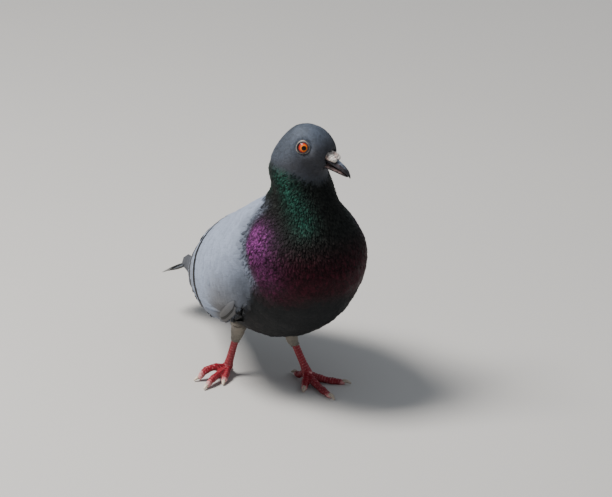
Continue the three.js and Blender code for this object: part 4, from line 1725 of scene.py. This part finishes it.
# Places along the bird, and half the closed fan's width there.
TAIL_FAN = ([64, 88, 107, 125, 138, 150], [7, 15, 18.5, 21, 22, 21])
TAIL_FEATHER = 14.5  # the width of one
TAIL_PAIRS = 6
TAIL_BAR = (122.0, 146.8, 1.0)  # where the end bar starts and ends along the bird, and its strength


def lay_tail(tail, paints):
    """Twelve tail feathers in a closed fan, the outer ones lowest."""
    top = surface_of("tail")
    share = Feathers.SHARES
    for k in reversed(range(TAIL_PAIRS)):
        for sign in (-1, 1):
            y = 64 + (84.5 - 3.5 * (k / (TAIL_PAIRS - 1)) ** 2) * share
            half = np.interp(y, *TAIL_FAN)
            fan = sign * (k + 0.5) / TAIL_PAIRS
            x = fan * (half - TAIL_FEATHER / 2 * (0.35 + 0.65 * ramp(share, 0, 0.3)))
            z = height_over(top, x * 0.8, y)
            path = np.stack([x, y, z - 0.35 - 0.24 * k - 0.006 * x * x], 1)
            heading = unit(np.gradient(path, axis=0))
            side = unit(np.cross(heading, [0, 0, 1.0]))
            out = unit(np.cross(side, heading))
            look = {"width": TAIL_FEATHER, "thick": 0.45, "colour": paints["tail"], "blunt": 0.12}
            tail.add(path, side, out, bar=TAIL_BAR, **look)


def lay_tail_coverts(tail, paints):
    """Three rows of feathers that lead from the rump over the tail's root."""
    rump = surface_of("tail", "trunk")
    share = Feathers.SHARES
    for row, (start, end) in enumerate(TAIL_COVERTS):
        for place in (-2, 2, -1, 1, 0):
            y = start + (end - start) * share
            x = (place + 0.5 * (row % 2)) * (2.4 + 1.9 * share)
            z = np.polyval(np.polyfit(share, height_over(rump, x, y), 3), share)
            path = np.stack([x, y, z + 0.5 + 0.3 * row], 1)
            rise = height_over(rump, x + 2.5, y) - height_over(rump, x - 2.5, y)
            slope = np.polyval(np.polyfit(share, rise / 5, 1), share)
            heading = unit(np.gradient(path, axis=0))
            side = np.stack([1 + 0 * slope, 0 * slope, np.clip(slope, -1.2, 1.2)], 1)
            side = unit(without(side, heading))
            out = unit(np.cross(side, heading))
            tail.add(path, side, out, width=9.5, thick=0.35, colour=paints["wing"], blunt=0.3)


def make_tail(colours):
    """The tail feathers and the rows over their roots."""
    finish = feather_finish("Tail feathers", streak=0.1)
    paints = paints_of(colours)
    tail = Feathers(tail_row, np.random.default_rng(8))
    lay_tail(tail, paints)
    lay_tail_coverts(tail, paints)
    settle(tail.mesh_object("feathers_tail"), finish, "flight_feathers", "tail")


# ---------------------------------------------------------------- studio

AIM = np.array([3.18, -37.8, 111.1])  # the view's middle, on the bird's chest
LENS_LENGTH = 259.4  # millimetres, as the next is
SENSOR_WIDTH = 36
FLOOR_REACH = 6.0  # metres, from the middle to each edge
# The lamps: direction from the bird, distance, size, share of the key light's power, and colour.
LAMPS = {
    "Key": ((-0.5, 0.16, 0.85), 1.6, 0.6, 1.0, (1.0, 0.97, 0.93)),
    "Fill": ((0.75, -0.5, 0.45), 2.2, 1.6, 0.09, (0.9, 0.95, 1.0)),
}
ROOM_COLOUR = (0.86, 0.92, 1.0, 1)


def aimed(name, data, direction, distance):
    """A camera or a lamp that looks at the bird from a direction."""
    made = bpy.data.objects.new(name, data)
    made.location = Vector(in_frame(AIM)) + direction * distance
    made.rotation_euler = (-direction).to_track_quat("-Z", "Y").to_euler()
    bpy.context.scene.collection.objects.link(made)
    return made


def make_floor(colour):
    """A wide plain floor of paper."""
    mesh = bpy.data.meshes.new("floor")
    corners = [(-1, -1), (1, -1), (1, 1), (-1, 1)]
    mesh.from_pydata([(FLOOR_REACH * x, FLOOR_REACH * y, 0) for x, y in corners], [], [(0, 1, 2, 3)])
    floor = fresh_object("floor", mesh)
    paper = Finish("Studio floor", Roughness=0.9)
    paper.set("Base Color", paper.scaled(solid(colour), paper.noise(3.0) * 0.06 + 0.97))
    floor.data.materials.append(paper.material)


def make_camera(azimuth, elevation, distance):
    """The camera, turned round the bird and raised over the floor by two angles."""
    level = math.cos(elevation)
    back = Vector((math.sin(azimuth) * level, -math.cos(azimuth) * level, math.sin(elevation)))
    lens = bpy.data.cameras.new("Camera")
    lens.lens = LENS_LENGTH
    lens.sensor_width = SENSOR_WIDTH
    lens.clip_start = 0.1
    lens.clip_end = 50
    bpy.context.scene.camera = aimed("Camera", lens, back, distance)


def make_lights(power, room_strength):
    """One soft key light, a weak fill and an even light from all round."""
    for name, (direction, distance, size, share, colour) in LAMPS.items():
        light = bpy.data.lights.new(name, "AREA")
        light.energy = power * share
        light.size = size
        light.color = colour
        aimed(name, light, Vector(direction).normalized(), distance)
    world = bpy.data.worlds.new("Room")
    world.use_nodes = True
    room = world.node_tree.nodes["Background"]
    room.inputs["Color"].default_value = ROOM_COLOUR
    room.inputs["Strength"].default_value = room_strength
    bpy.context.scene.world = world


def make_stage(stage):
    """A plain pale floor, the lights and the camera."""
    make_floor(stage.floor)
    make_camera(stage.azimuth, stage.elevation, stage.distance)
    make_lights(stage.key, stage.fill)


# ---------------------------------------------------------------- add-on


class PIGEON_OT_skin(bpy.types.Operator):
    """Builds the skin of trunk, neck, head, thighs and folded wings"""

    bl_idname = "pigeon.skin"
    bl_label = "Skin"
    bl_options = {"REGISTER", "UNDO"}

    def execute(self, context):
        make_skin(context.scene.pigeon_body, context.scene.pigeon_plumage)
        return {"FINISHED"}


class PIGEON_OT_coat(bpy.types.Operator):
    """Grows the small feathers on the skin"""

    bl_idname = "pigeon.coat"
    bl_label = "Small Feathers"
    bl_options = {"REGISTER", "UNDO"}

    def execute(self, context):
        make_coat(context.scene.objects["skin"])
        return {"FINISHED"}


class PIGEON_OT_wings(bpy.types.Operator):
    """Lays the long feathers of both wings"""

    bl_idname = "pigeon.wings"
    bl_label = "Wing Feathers"
    bl_options = {"REGISTER", "UNDO"}

    def execute(self, context):
        make_wings(context.scene.pigeon_plumage)
        return {"FINISHED"}


class PIGEON_OT_tail(bpy.types.Operator):
    """Lays the tail feathers"""

    bl_idname = "pigeon.tail"
    bl_label = "Tail Feathers"
    bl_options = {"REGISTER", "UNDO"}

    def execute(self, context):
        make_tail(context.scene.pigeon_plumage)
        return {"FINISHED"}


class PIGEON_OT_eyes(bpy.types.Operator):
    """Builds the eyes and the bare rings round them"""

    bl_idname = "pigeon.eyes"
    bl_label = "Eyes"
    bl_options = {"REGISTER", "UNDO"}

    def execute(self, context):
        make_eyes(context.scene.pigeon_body)
        return {"FINISHED"}


class PIGEON_OT_bill(bpy.types.Operator):
    """Builds the bill and the cere"""

    bl_idname = "pigeon.bill"
    bl_label = "Bill"
    bl_options = {"REGISTER", "UNDO"}

    def execute(self, context):
        make_bill(context.scene.pigeon_body)
        return {"FINISHED"}


class PIGEON_OT_feet(bpy.types.Operator):
    """Builds the scaled legs and the claws"""

    bl_idname = "pigeon.feet"
    bl_label = "Feet"
    bl_options = {"REGISTER", "UNDO"}

    def execute(self, context):
        make_feet(context.scene.pigeon_body)
        return {"FINISHED"}


class PIGEON_OT_stage(bpy.types.Operator):
    """Sets the floor, the lights and the camera"""

    bl_idname = "pigeon.stage"
    bl_label = "Studio"
    bl_options = {"REGISTER", "UNDO"}

    def execute(self, context):
        make_stage(context.scene.pigeon_stage)
        return {"FINISHED"}


STEPS = ("skin", "coat", "wings", "tail", "eyes", "bill", "feet", "stage")


class PIGEON_PT_build(bpy.types.Panel):
    """Lists the steps that build the pigeon"""

    bl_label = "Standing Pigeon"
    bl_space_type = "VIEW_3D"
    bl_region_type = "UI"
    bl_category = "Pigeon"

    def draw(self, context):
        for step in STEPS:
            self.layout.operator("pigeon." + step)


GROUPS = {"pigeon_plumage": PigeonPlumage, "pigeon_body": PigeonBody, "pigeon_stage": PigeonStage}
CLASSES = (
    *GROUPS.values(), PIGEON_OT_skin, PIGEON_OT_coat, PIGEON_OT_wings, PIGEON_OT_tail, PIGEON_OT_eyes,
    PIGEON_OT_bill, PIGEON_OT_feet, PIGEON_OT_stage, PIGEON_PT_build,
)


def register():
    """Adds the settings, the operators and the panel."""
    for each in CLASSES:
        bpy.utils.register_class(each)
    for name, group in GROUPS.items():
        setattr(bpy.types.Scene, name, bpy.props.PointerProperty(type=group))


def unregister():
    """Takes them away again."""
    for name in GROUPS:
        delattr(bpy.types.Scene, name)
    for each in reversed(CLASSES):
        bpy.utils.unregister_class(each)


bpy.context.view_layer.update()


def main():
    """Builds the pigeon step by step."""
    register()
    for step in STEPS:
        getattr(bpy.ops.pigeon, step)()


if __name__ == "__main__":
    main()
